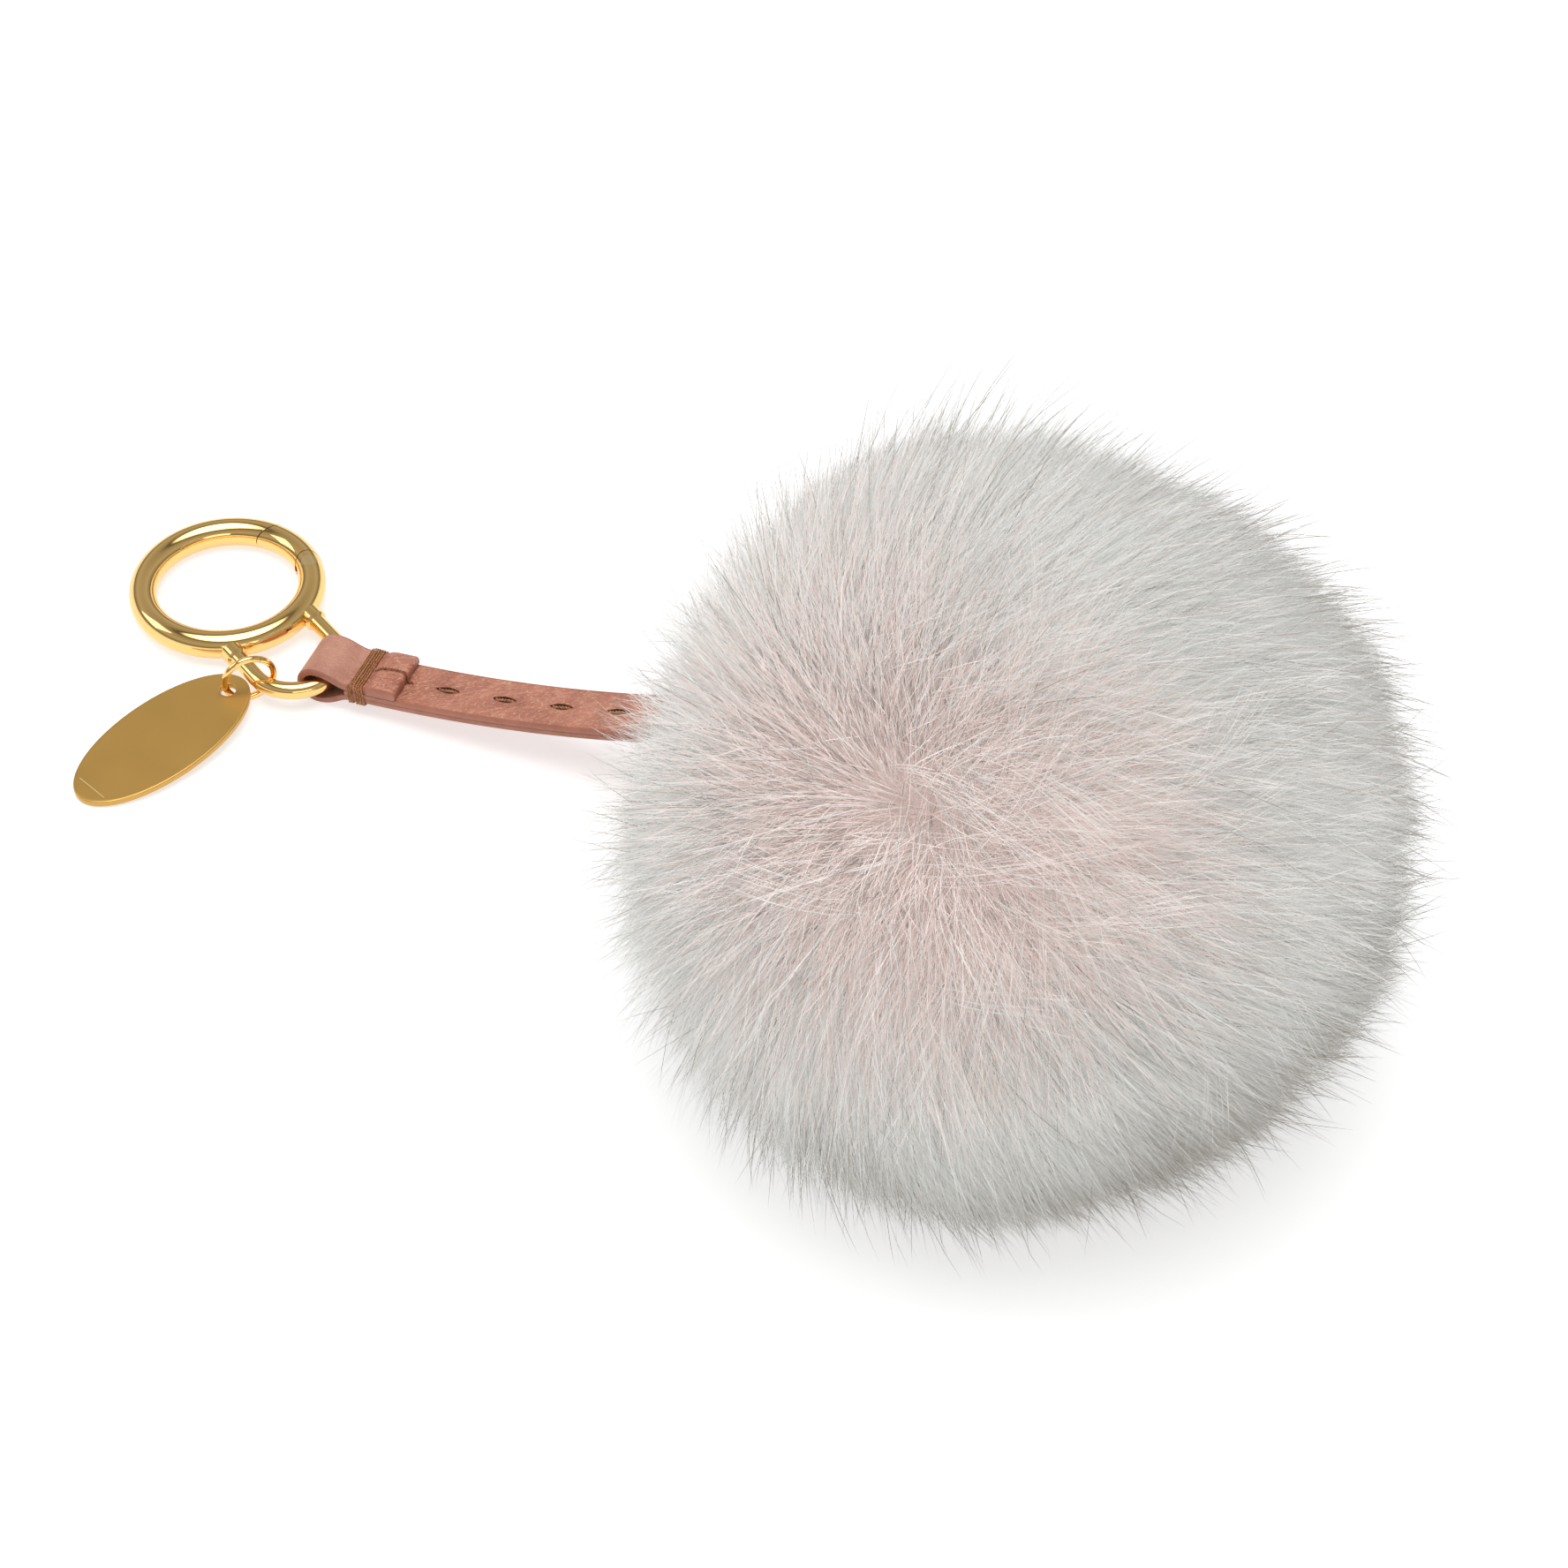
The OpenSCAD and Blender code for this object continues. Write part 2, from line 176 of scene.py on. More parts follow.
# ---------------------------------------------------------------- stage: camera, floor, light
def stage():
    scene = bpy.context.scene
    scene.view_settings.view_transform = "Standard"
    scene.view_settings.look = "None"

    cam = bpy.data.cameras.new("camera")
    cam.lens = 102.65
    cam.sensor_width = 36
    cam_obj = bpy.data.objects.new("camera", cam)
    cam_obj.location = (0.0989, -0.5772, 0.5473)
    cam_obj.rotation_euler = (math.radians(44), 0, 0)
    scene.collection.objects.link(cam_obj)
    scene.camera = cam_obj

    floor_mesh = bpy.data.meshes.new("floor")
    reach_m = 4.0
    corners = [(reach_m * x, reach_m * y, TABLE * MM) for x, y in ((-1, -1), (1, -1), (1, 1), (-1, 1))]
    floor_mesh.from_pydata(corners, [], [(0, 1, 2, 3)])
    floor_mesh.materials.append(principled("floor", (0.56, 0.56, 0.56), 0.9, Specular_IOR_Level=0.0,
                                           Emission_Color=(1, 1, 1, 1), Emission_Strength=0.6))
    floor = bpy.data.objects.new("floor", floor_mesh)
    scene.collection.objects.link(floor)

    # A pale backdrop round the horizon, a dimmer room above it and a broad soft box overhead
    world = bpy.data.worlds.new("studio")
    scene.world = world
    world.use_nodes = True
    tree = world.node_tree
    back = tree.nodes["Background"]
    at = tree.nodes.new("ShaderNodeTexCoord")
    split = tree.nodes.new("ShaderNodeSeparateXYZ")
    # Upward share and brightness
    stops = [(0.0, 0.42), (0.11, 0.42), (0.2, 0.07), (0.5, 0.20),
             (0.8, 0.14), (0.88, 0.03), (0.95, 1.7), (1.0, 1.7)]
    fade = ramp(world, [(share, grey(v)) for share, v in stops])
    tree.links.new(at.outputs["Generated"], split.inputs[0])
    tree.links.new(split.outputs["Z"], fade.inputs["Fac"])
    tree.links.new(fade.outputs["Color"], back.inputs["Color"])
    back.inputs["Strength"].default_value = 2.5

    def soft_box(name, place, size, power, aim=(0.09, -0.05, 0.02)):
        lamp = bpy.data.lights.new(name, "AREA")
        lamp.shape = "RECTANGLE"
        lamp.size, lamp.size_y = size
        lamp.energy = power
        o = bpy.data.objects.new(name, lamp)
        o.location = place
        o.rotation_euler = (Vector(aim) - Vector(place)).to_track_quat("-Z", "Y").to_euler()
        scene.collection.objects.link(o)

    soft_box("left", (-0.8, 0.1, 0.6), (0.45, 0.45), 1.3)
    soft_box("front", (0.35, -0.95, 0.4), (0.9, 0.25), 1.0)


# ---------------------------------------------------------------- fur
FUR_C = np.array([134.8, -101.0, 44.0])
FUR_R = 61.0
# Painted glow: the fur's materials give off a little light of their own at this strength, standing in for
# light scattered through the hair.
FUR_PAINTED_GLOW = 0.21
FUR_SECTORS = 14
FIELD_SEED = 5
STRAND_STEPS = 21
STRAND_U = np.linspace(0, 1, STRAND_STEPS)
CLUMPS, CLUMP_HAIRS = 3700, 33
GUARD_HAIRS = 16000
LOCKS, LOCK_HAIRS = 46, 16
STRAP_HAIRS = 150
WOOL_HAIRS = 32000
# The hair lies away from a short parting on the ball's upper near side.
PARTING = np.array([-0.57, -0.46, 0.74]) + np.linspace(0, 1, 9)[:, None] * np.array([0.50, -0.22, -0.10])
PARTING = PARTING / np.linalg.norm(PARTING, axis=1, keepdims=True)
PARTING_UP = np.cross(PARTING[-1], PARTING[0])
PARTING_UP = PARTING_UP / np.linalg.norm(PARTING_UP) * np.sign(PARTING_UP[2])
SWEEP = np.array([0.99, -0.1, -0.1])
STRAP_O = np.array([20.2199, -21.7779, 1.00285])
TURN = math.radians(-22)
STRAP_X = np.array([math.cos(TURN), math.sin(TURN), 0.0])
STRAP_Y = np.array([-math.sin(TURN), math.cos(TURN), 0.0])
STRAP_Z = np.array([0.0, 0.0, 1.0])
RISE_0, RISE_1, BEND_S, BEND_L = 6.0, 18.0, 14.0, 50.0
BEND_R = BEND_L / math.radians(RISE_1 - RISE_0)
STRAP_END = 111.0

PALETTE = {
    "deep_rose": (0.58, 0.40, 0.36),
    "rose": (0.74, 0.59, 0.555),
    "blush": (0.82, 0.70, 0.665),
    "pale_blush": (0.85, 0.77, 0.74),
    "ivory": (0.85, 0.815, 0.78),
    "white": (0.87, 0.865, 0.85),
    "cool_white": (0.79, 0.795, 0.78),
    "silver": (0.71, 0.71, 0.69),
    "pearl_grey": (0.62, 0.615, 0.59),
    "grey_beige": (0.53, 0.51, 0.475),
    "shade": (0.41, 0.385, 0.35),
    "dark_hair": (0.28, 0.25, 0.22),
}
PALETTE_RGB = np.array(list(PALETTE.values()))


def rise(s):
    return np.radians(RISE_0 + (RISE_1 - RISE_0) * np.clip((s - BEND_S) / BEND_L, 0, 1))


def line(s):
    """The strap's middle line in its upright plane, at s along it: x, z."""
    s = np.asarray(s, dtype=float)
    r0, r1 = math.radians(RISE_0), math.radians(RISE_1)
    r = rise(s)
    past = np.maximum(s - BEND_S - BEND_L, 0)
    bent_x = BEND_S * math.cos(r0) + BEND_R * (np.sin(r) - math.sin(r0)) + past * math.cos(r1)
    bent_z = BEND_S * math.sin(r0) + BEND_R * (math.cos(r0) - np.cos(r)) + past * math.sin(r1)
    straight = s < BEND_S
    return np.where(straight, s * math.cos(r0), bent_x), np.where(straight, s * math.sin(r0), bent_z)


def to_strap(p):
    q = p - STRAP_O
    return np.stack([q @ STRAP_X, q @ STRAP_Y, q[..., 2]], axis=-1)


def from_strap(q):
    return STRAP_O + q[..., :1] * STRAP_X + q[..., 1:2] * STRAP_Y + q[..., 2:3] * STRAP_Z


LINE_S = np.linspace(0, STRAP_END, 400)
LINE_X, LINE_Z = line(LINE_S)


ROOM_SIDE, ROOM_UP, ROOM_DOWN, ROOM_END = 5.7, 1.1, 2.4, 1.2
ROOM_SLOPE = 0.951


def in_strap(p):
    """Whether points lie in the room that the strap's end needs."""
    q = to_strap(p)
    h = (q[..., 2] - np.interp(q[..., 0], LINE_X, LINE_Z)) * ROOM_SLOPE
    beside = (q[..., 0] < LINE_X[-1] + ROOM_END) & (np.abs(q[..., 1]) < ROOM_SIDE)
    return beside & (h < ROOM_UP) & (h > -ROOM_DOWN)


def even_directions(n, rng):
    i = np.arange(n) + 0.5
    z = 1 - 2 * i / n
    a = i * math.pi * (3 - math.sqrt(5))
    r = np.sqrt(1 - z * z)
    d = np.stack([r * np.cos(a), r * np.sin(a), z], axis=1)
    return unit(d + rng.normal(0, 0.4 / math.sqrt(n), d.shape))


def waves(d, rng, count=6, low=1.5, high=4.0):
    """A smooth random field over directions, about -1 to 1."""
    total = np.zeros(len(d))
    for _ in range(count):
        axis = unit(rng.normal(size=3)) * rng.uniform(low, high)
        total += np.sin(d @ axis + rng.uniform(0, 2 * math.pi))
    return total / math.sqrt(count)


def turn_about(v, axis, angle):
    """v turned about axis, for rows of vectors."""
    c, s = np.cos(angle)[:, None], np.sin(angle)[:, None]
    return v * c + np.cross(axis, v) * s + axis * np.sum(axis * v, axis=1, keepdims=True) * (1 - c)


def near_to(d, place, spread):
    """1 for directions at place, falling away over spread."""
    return np.exp(-((d - unit(np.array(place))) ** 2).sum(1) / spread)


def parting_angle(d):
    """Degrees from each direction to the parting, and the parting's nearest direction."""
    each = np.arccos(np.clip(d @ PARTING.T, -1, 1))
    w = np.exp(-((each - each.min(axis=1, keepdims=True)) / 0.16))
    near = unit(w @ PARTING)
    return np.degrees(np.arccos(np.clip(np.sum(d * near, axis=1), -1, 1))), near


def mess_at(near):
    """How untidy the hair is at near degrees from the parting, from 1 down to 0."""
    return np.exp(-(near / 24) ** 2)


def flow(d, field):
    """The way the hair lies: away from the parting, swept to one side and turned by field."""
    near = parting_angle(d)[1]
    up = smooth_step(-0.05, 0.4, d @ PARTING_UP)[:, None]
    near = unit(near * (1 - 0.5 * up) + PARTING[:1] * 0.5 * up)
    t = unit(np.sum(d * near, axis=1, keepdims=True) * d - near + 1e-6)
    sweep = SWEEP - np.sum(d * SWEEP, axis=1, keepdims=True) * d
    t = unit(t + (0.22 + 0.38 * up) * sweep)
    return turn_about(t, d, field)


def reach(d):
    """The ball's own shape: how far the hair stands from its centre, as a share of its radius."""
    return (0.972 + 0.03 * np.abs(d[:, 0]) + 0.028 * np.clip(-d[:, 0], 0, 1)
            + 0.035 * near_to(d, (-0.62, 0.5, 0.6), 0.2)
            + 0.025 * near_to(d, (0.81, 0.42, 0.41), 0.15)
            - 0.095 * near_to(d, (-0.90, 0.02, 0.46), 0.03)
            + 0.05 * near_to(d, (-0.99, -0.1, -0.08), 0.08)
            + 0.009 * waves(d, np.random.default_rng(8), 9, 5, 11)
            - 0.015 * np.clip(d[:, 2] - 0.6, 0, 1))


def strand_paths(d, t, tip_r, length, lean_0, lean_1):
    """Curves that leave a direction d leaning lean_0 from it and end leaning lean_1, at radius tip_r."""
    angle = lean_0[:, None] + (lean_1 - lean_0)[:, None] * STRAND_U ** 0.6
    mid = 0.5 * (angle[:, 1:] + angle[:, :-1])
    zero = np.zeros((len(d), 1))
    piece = length[:, None]
    out = np.concatenate([zero, np.cumsum(np.cos(mid), axis=1)], axis=1) / (STRAND_STEPS - 1) * piece
    over = np.concatenate([zero, np.cumsum(np.sin(mid), axis=1)], axis=1) / (STRAND_STEPS - 1) * piece
    root = np.sqrt(np.maximum(tip_r ** 2 - over[:, -1] ** 2, 1)) - out[:, -1]
    return FUR_C + d[:, None, :] * (root[:, None] + out)[..., None] + t[:, None, :] * over[..., None]


def bowed(p, d, t, offset):
    """Paths moved sideways from the way they lie, by offset at each point."""
    side = unit(np.cross(d, t))
    return p + side[:, None, :] * offset[..., None]


def settle(p, rng):
    """Points under the table come to lie on it, spread by their depth."""
    floor = TABLE + 0.06 + rng.uniform(0, 0.9, (len(p), 1))
    depth = np.maximum(floor - p[..., 2], 0)
    out = unit((p - FUR_C) * np.array([1, 1, 0]))
    p = p + out * (depth * 0.35)[..., None]
    p[..., 2] = np.maximum(p[..., 2], floor)
    return p


def strand_mesh(name, p, radius, slots):
    """Closed three-sided tapered strands. p is n x k x 3, radius n x (k-1), slots n x (k-1)."""
    n, k, _ = p.shape
    along = unit(np.gradient(p, axis=1))
    side = unit(np.cross(along, unit(p[:, -1:, :] - p[:, :1, :] + np.array([0.31, 0.17, 0.93]))))
    other = np.cross(along, side)
    rings = []
    for c in range(3):
        a = 2 * math.pi * c / 3
        outward = math.cos(a) * side[:, :-1] + math.sin(a) * other[:, :-1]
        rings.append(p[:, :-1] + radius[..., None] * outward)
    body = np.stack(rings, axis=2).reshape(n, 3 * (k - 1), 3)
    points = np.concatenate([body, p[:, -1:, :]], axis=1).reshape(-1, 3)
    points[:, 2] = np.maximum(points[:, 2], TABLE + 0.02)
    per = 3 * (k - 1) + 1
    walls = grid_faces(k - 1, 3)
    wall_slot = np.repeat(np.arange(k - 2), 3)
    ends = np.array([[3 * (k - 2) + c, 3 * (k - 2) + (c + 1) % 3, per - 1] for c in range(3)])
    cap = np.array([[0, 2, 1]])
    base = (np.arange(n) * per)[:, None]
    quads = (walls.reshape(1, -1) + base).astype(np.int32)
    tris = (np.concatenate([ends, cap]).reshape(1, -1) + base).astype(np.int32)
    faces = np.concatenate([quads.ravel(), tris.ravel()])
    sizes = np.concatenate([np.full(n * len(walls), 4), np.full(n * 4, 3)])
    face_slots = np.concatenate([
        slots[:, wall_slot].ravel(),
        np.concatenate([np.repeat(slots[:, -1:], 3, axis=1), slots[:, :1]], axis=1).ravel()])
    return fast_mesh(name, points, faces, sizes, face_slots)


def nearest_slot(colour):
    flat = colour.reshape(-1, 1, 3) - PALETTE_RGB[None]
    return np.argmin((flat ** 2).sum(-1), axis=1).reshape(colour.shape[:-1])


def fur_colours(d, u, rng, pink_field, lift, tone):
    """The colour of each strand at each place u along it."""
    near = np.degrees(np.arccos(np.clip(d @ PARTING[1:8].T, -1, 1))).min(axis=1)
    pink = np.clip(1 - smooth_step(2, 37, near) + 0.22 * pink_field, 0, 1)[:, None]
    # Painted shade: how much darker the hair is coloured towards the bottom and a little towards the right,
    # where less of the light from above falls.
    under = smooth_step(-0.5, 0.5, -d[:, 2] + 0.12 * pink_field + 0.3 * d[:, 0])[:, None]
    # Near the parting the roots are pinker, the underfur's own colour, and also painted a little lighter than
    # the tips: painted light that keeps the shaded gaps between clumps from reading dark.
    tip = (1 - pink) * np.array([0.77, 0.757, 0.72]) + pink * np.array([0.785, 0.70, 0.67])
    root = (1 - pink) * np.array([0.77, 0.745, 0.71]) + pink * np.array([0.84, 0.715, 0.68])
    # The painted shade darkens tips and roots.
    tip = tip * (1 - under * np.array([0.48, 0.44, 0.46]))
    root = root * (1 - under * np.array([0.50, 0.48, 0.48]))
    w = smooth_step(0.1, 0.85, u[None, :] + rng.normal(0, 0.12, (len(d), 1)) + lift)
    c = root[:, None, :] * (1 - w[..., None]) + tip[:, None, :] * w[..., None]
    c = c * np.reshape(tone, (-1, 1, 1))
    return c * rng.normal(1, 0.045, (len(d), 1, 1)) + rng.normal(0, 0.01, (len(d), 1, 3))


def pile(rng):
    """The coat, in clumps whose hairs draw together towards their tips: directions, paths and tones."""
    centre = even_directions(CLUMPS, rng)
    # The base rests on the table, so it needs less hair.
    centre = centre[(centre[:, 2] > -0.72) | (rng.uniform(size=CLUMPS) < 0.35)]
    count = len(centre)
    clump = np.repeat(np.arange(count), CLUMP_HAIRS)
    n = len(clump)
    swirl = waves(centre, np.random.default_rng(FIELD_SEED), 6, 1.5, 4.0)
    fine_swirl = waves(centre, np.random.default_rng(FIELD_SEED + 1), 8, 5, 12)
    mess = mess_at(parting_angle(centre)[0])
    turn = np.radians(20 * swirl + 13 * fine_swirl + rng.normal(0, 1, count) * (10 + 42 * mess))
    clump_lean = rng.normal(0, 4, count) + 5 * fine_swirl
    clump_long = rng.normal(1, 0.09, count)
    clump_tip = rng.normal(0, 0.02, count) + 0.012 * fine_swirl
    clump_tone = rng.normal(1, 0.035, count)
    pull = rng.uniform(0.2, 0.6, count) * (1 - 0.5 * mess)

    d = unit(centre[clump] + rng.normal(0, 2.6 / 50, (n, 3)))
    near = parting_angle(d)[0]
    mess = mess_at(near)
    t = flow(d, turn[clump] + np.radians(rng.normal(0, 1, n) * (4 + 11 * mess)))
    lean = np.interp(near, [0, 6, 22, 75, 110, 160, 180], [74, 79, 81, 74, 62, 42, 22])
    lean = np.radians(np.clip(lean + clump_lean[clump] + rng.normal(0, 3.5, n), 5, 84))
    lean_0 = lean * np.clip(rng.normal(0.36, 0.06, n) + 0.25 * mess, 0.15, 0.75)
    length = np.interp(near, [0, 20, 90, 140], [30, 38, 36, 30]) * clump_long[clump] * rng.normal(1, 0.12, n)
    tip_r = FUR_R * (reach(d) + clump_tip[clump] + rng.normal(0, 0.03, n))
    p = strand_paths(d, t, tip_r, length, lean_0, lean)

    mean = np.zeros((count,) + p.shape[1:])
    np.add.at(mean, clump, p)
    mean /= CLUMP_HAIRS
    draw = (pull[clump][:, None] * smooth_step(0.35, 1.0, STRAND_U))[..., None]
    p = p * (1 - draw) + mean[clump] * draw
    # A slow curl, different on each hair
    wave = np.sin(STRAND_U * rng.uniform(2.5, 6, n)[:, None] + rng.uniform(0, 6.28, n)[:, None])
    curl = wave * STRAND_U * (rng.normal(0, 1, n) * (0.7 + 1.5 * mess))[:, None]
    return d, bowed(p, d, t, curl), clump_tone[clump]


def guard(rng):
    """Longer, thinner, less tidy hairs: directions, paths, degrees from the parting, and which ones stray."""
    d = even_directions(GUARD_HAIRS, rng)
    d = d[d[:, 2] > -0.55]
    n = len(d)
    near = parting_angle(d)[0]
    swirl = waves(d, np.random.default_rng(FIELD_SEED), 6, 1.5, 4.0)
    t = flow(d, np.radians(18 * swirl + rng.normal(0, 22, n)))
    lean = np.radians(np.interp(near, [0, 20, 80, 120, 180], [58, 68, 56, 46, 25]) + rng.normal(0, 9, n))
    far = reach(d) + 0.02 + np.abs(rng.normal(0, 0.055, n))
    far = far + 0.035 * np.clip(-d[:, 0], 0, 1) * rng.uniform(0, 1, n)
    tuft = near_to(d, (-0.32, 0.62, 0.72), 0.05)
    far = np.minimum(far, 1.155) + 0.17 * tuft * rng.uniform(0, 1, n) ** 1.5
    p = strand_paths(d, t, FUR_R * far, 35 * rng.normal(1, 0.1, n), lean * 0.45, lean)
    wave = np.sin(STRAND_U * rng.uniform(2, 5, n)[:, None] + rng.uniform(0, 6.28, n)[:, None])
    p = bowed(p, d, t, wave * STRAND_U ** 1.5 * rng.normal(0, 1.4, n)[:, None])
    return d, p, near, far - reach(d) > 0.085


def loose_locks(rng):
    """A few locks that lie across the others near the parting."""
    near = PARTING[rng.integers(2, 9, LOCKS)] + rng.normal(0, 0.2, (LOCKS, 3))
    at = unit(near + np.array([0.12, -0.05, 0.02]))
    turn = np.radians(rng.uniform(25, 95, LOCKS) * rng.choice([-1, 1], LOCKS))
    lock = np.repeat(np.arange(LOCKS), LOCK_HAIRS)
    n = len(lock)
    d = unit(at[lock] + rng.normal(0, 0.02, (n, 3)))
    t = flow(d, turn[lock] + np.radians(rng.normal(0, 5, n)))
    lean = np.radians(rng.normal(82, 3, LOCKS)[lock] + rng.normal(0, 2, n))
    tip_r = FUR_R * (1.03 + rng.normal(0, 0.012, n))
    length = rng.normal(33, 5, LOCKS)[lock] * rng.normal(1, 0.1, n)
    bow = rng.normal(0, 7.0, LOCKS)[lock] + rng.normal(0, 1.0, n)
    p = strand_paths(d, t, tip_r, length, lean * 0.6, lean)
    return d, bowed(p, d, t, STRAND_U ** 2 * bow[:, None])


def over_strap(rng):
    """Hairs that lie out over the strap where it goes in."""
    d = unit(np.array([-0.80, 0.03, 0.62]) + rng.normal(0, 0.075, (STRAP_HAIRS, 3)))
    n = len(d)
    t = flow(d, np.radians(rng.normal(0, 22, n)))
    lean = np.radians(rng.normal(74, 6, n))
    tip_r = FUR_R * (reach(d) + rng.uniform(0.02, 0.15, n))
    return d, strand_paths(d, t, tip_r, 32 * rng.normal(1, 0.1, n), lean * 0.5, lean)


def wool(rng):
    """Short woolly hairs under the rest."""
    d = even_directions(WOOL_HAIRS, rng)
    d = d[d[:, 2] > -0.8]
    n = len(d)
    t = flow(d, np.radians(rng.normal(0, 35, n)))
    lean = np.radians(np.clip(rng.normal(50, 13, n), 5, 80))
    deep = 0.03 + 0.045 * smooth_step(15, 45, parting_angle(d)[0])
    tip_r = FUR_R * (reach(d) - deep) * rng.normal(1, 0.025, n)
    return d, strand_paths(d, t, tip_r, 19 * rng.normal(1, 0.1, n), lean * 0.5, lean)


def finished(rng, dirs, paths, radius, points, lift, thick, tone):
    """Strands laid on the table, clear of the strap and cut to a few points, with radii and slots."""
    paths = settle(paths, rng)
    clear = ~in_strap(paths).any(axis=1)
    dirs, paths, thick, tone = dirs[clear], paths[clear], thick[clear], tone[clear]
    steps = np.round(np.linspace(0, STRAND_STEPS - 1, points)).astype(int)
    along = steps[:-1] / steps[-1]
    radius = radius * np.clip(thick, 0.6, 1.5)[:, None] * (1 - 0.62 * along ** 1.6)
    pink_field = waves(dirs, np.random.default_rng(FIELD_SEED + 2), 7, 3, 8)
    mid = 0.5 * (steps[:-1] + steps[1:]) / steps[-1]
    slots = nearest_slot(fur_colours(dirs, mid, rng, pink_field, lift, tone))
    return dirs, paths[:, steps], radius, slots


def fur():
    rng = np.random.default_rng(11)
    # Each fur colour also glows a little: painted glow standing in for light scattered through the hair.
    shades = [principled("fur_" + name, colour, 0.55, Specular_IOR_Level=0.3,
                         Emission_Color=(*colour, 1), Emission_Strength=FUR_PAINTED_GLOW)
              for name, colour in PALETTE.items()]
    pile_d, pile_p, pile_tone = pile(rng)
    guard_d, guard_p, near, stray = guard(rng)
    lock_d, lock_p = loose_locks(rng)
    over_d, over_p = over_strap(rng)
    wool_d, wool_p = wool(rng)

    # Guard hairs are grey where they stand out at the sides, and mostly pale elsewhere.
    n, loose = len(guard_d), len(lock_d) + len(over_d)
    at_side = smooth_step(50, 90, near)
    grey_hair = rng.uniform(size=n) < 0.2 + 0.6 * at_side + 0.3 * stray
    guard_tone = np.where(grey_hair, rng.uniform(0.38, 0.75, n), 1.12)
    guard_thick = np.concatenate([1 + 0.4 * stray * at_side, np.ones(loose)])
    wool_tone = 1 + 0.03 * np.exp(-(parting_angle(wool_d)[0] / 30) ** 2)
    # Directions, paths, radius in mm, points, lift of the colour, thickness and tone of each kind
    kinds = [
        (pile_d, pile_p, 0.088, 5, 0.0, rng.normal(1, 0.2, len(pile_d)), pile_tone),
        (np.concatenate([guard_d, lock_d, over_d]), np.concatenate([guard_p, lock_p, over_p]), 0.064, 8, 0.2,
         rng.normal(1, 0.2, n + loose) * guard_thick, np.concatenate([guard_tone, np.full(loose, 1.1)])),
        (wool_d, wool_p, 0.135, 4, 0.0, rng.normal(1, 0.1, len(wool_d)), wool_tone),
    ]
    made = [finished(rng, *kind) for kind in kinds]

    # Sectors of even size round the upright axis, each a piece of its own
    angles = [np.arctan2(dirs[:, 1], dirs[:, 0]) for dirs, *_ in made]
    edges = np.quantile(angles[0], np.linspace(0, 1, FUR_SECTORS + 1))
    edges[0], edges[-1] = -4, 4
    for s in range(FUR_SECTORS):
        for kind, angle, (_, paths, radius, slots) in zip(("pile", "guard", "wool"), angles, made):
            inside = (angle >= edges[s]) & (angle < edges[s + 1])
            mesh = strand_mesh(f"fur_{kind}_{s:02d}", paths[inside], radius[inside], slots[inside])
            new_object(f"fur_{kind}_{s:02d}", mesh, shades, "pom", ["pom_fur"])


def felt_body():
    """The dense inner fur that the strands grow from: a lumpy ball, flattened where it rests."""
    rng = np.random.default_rng(3)
    rows, cols = 90, 160
    a = np.linspace(0, math.pi, rows)[:, None]
    b = np.linspace(0, 2 * math.pi, cols, endpoint=False)[None, :]
    d = np.stack([np.sin(a) * np.cos(b), np.sin(a) * np.sin(b), np.cos(a) * np.ones_like(b)], axis=-1)
    d = d.reshape(-1, 3)
    r = 39.5 + 0.9 * waves(d, rng, 14, 6, 26)
    # It sinks a little on the side where the strap comes in.
    r = r - 3.5 * near_to(d, strap_direction(-24.9, 30.5, -24.0), 0.18)
    p = FUR_C + d * r[:, None]
    p[:, 2] = np.maximum(p[:, 2], TABLE + 1.2)
    quads = grid_faces(rows, cols)
    mesh = fast_mesh("inner_fur", p, quads.ravel(), np.full(len(quads), 4))
    m = woolly_material("inner_fur", (0.68, 0.55, 0.51), (0.85, 0.77, 0.74))
    # Painted glow: the inner fur glows a little too, standing in for light scattered through the hair.
    shader(m).inputs["Emission Color"].default_value = (0.82, 0.70, 0.66, 1)
    shader(m).inputs["Emission Strength"].default_value = FUR_PAINTED_GLOW
    new_object("inner_fur", mesh, [m], "pom", ["pom_fur"])


def strap_direction(x, y, z):
    return x * STRAP_X + y * STRAP_Y + z * STRAP_Z


# ---------------------------------------------------------------- leather
STRAP_HALF_W, UNDER_T, TOP_T = 5.0, 1.25, 1.15
MID_H = (UNDER_T + TOP_T) / 2
LOOP_X, FOLD_R, NECK_X, FLAP_END = -0.75, 3.125, 5.4, 14.8
SLITS, SLIT_L, SLIT_W = [22.6 + 11 * i for i in range(4)], 4.7, 1.45
EDGE_R, UNDER_INNER_R, TOP_INNER_R = 0.42, 0.16, 0.05
LAYER_GAP = 0.012
TOP_COLS = 53


def laid(q):
    """Points (s, h) of the flat strap, bent into its upright plane: x, z in the strap's frame."""
    s, h = q[:, 0], q[:, 1]
    x, z = line(s)
    r = rise(s)
    r0 = math.radians(RISE_0)
    before = s < 0
    return np.stack([np.where(before, s * math.cos(r0) - h * math.sin(r0), x - h * np.sin(r)),
                     np.where(before, s * math.sin(r0) + h * math.cos(r0), z + h * np.cos(r))], axis=1)


def branch(side, t):
    a, b = np.array([NECK_X, side * MID_H]), np.array([NECK_X - 2, side * MID_H])
    c, d = np.array([2.2, side * FOLD_R]), np.array([LOOP_X, side * FOLD_R])
    t = t[:, None]
    return (1 - t) ** 3 * a + 3 * (1 - t) ** 2 * t * b + 3 * (1 - t) * t ** 2 * c + t ** 3 * d


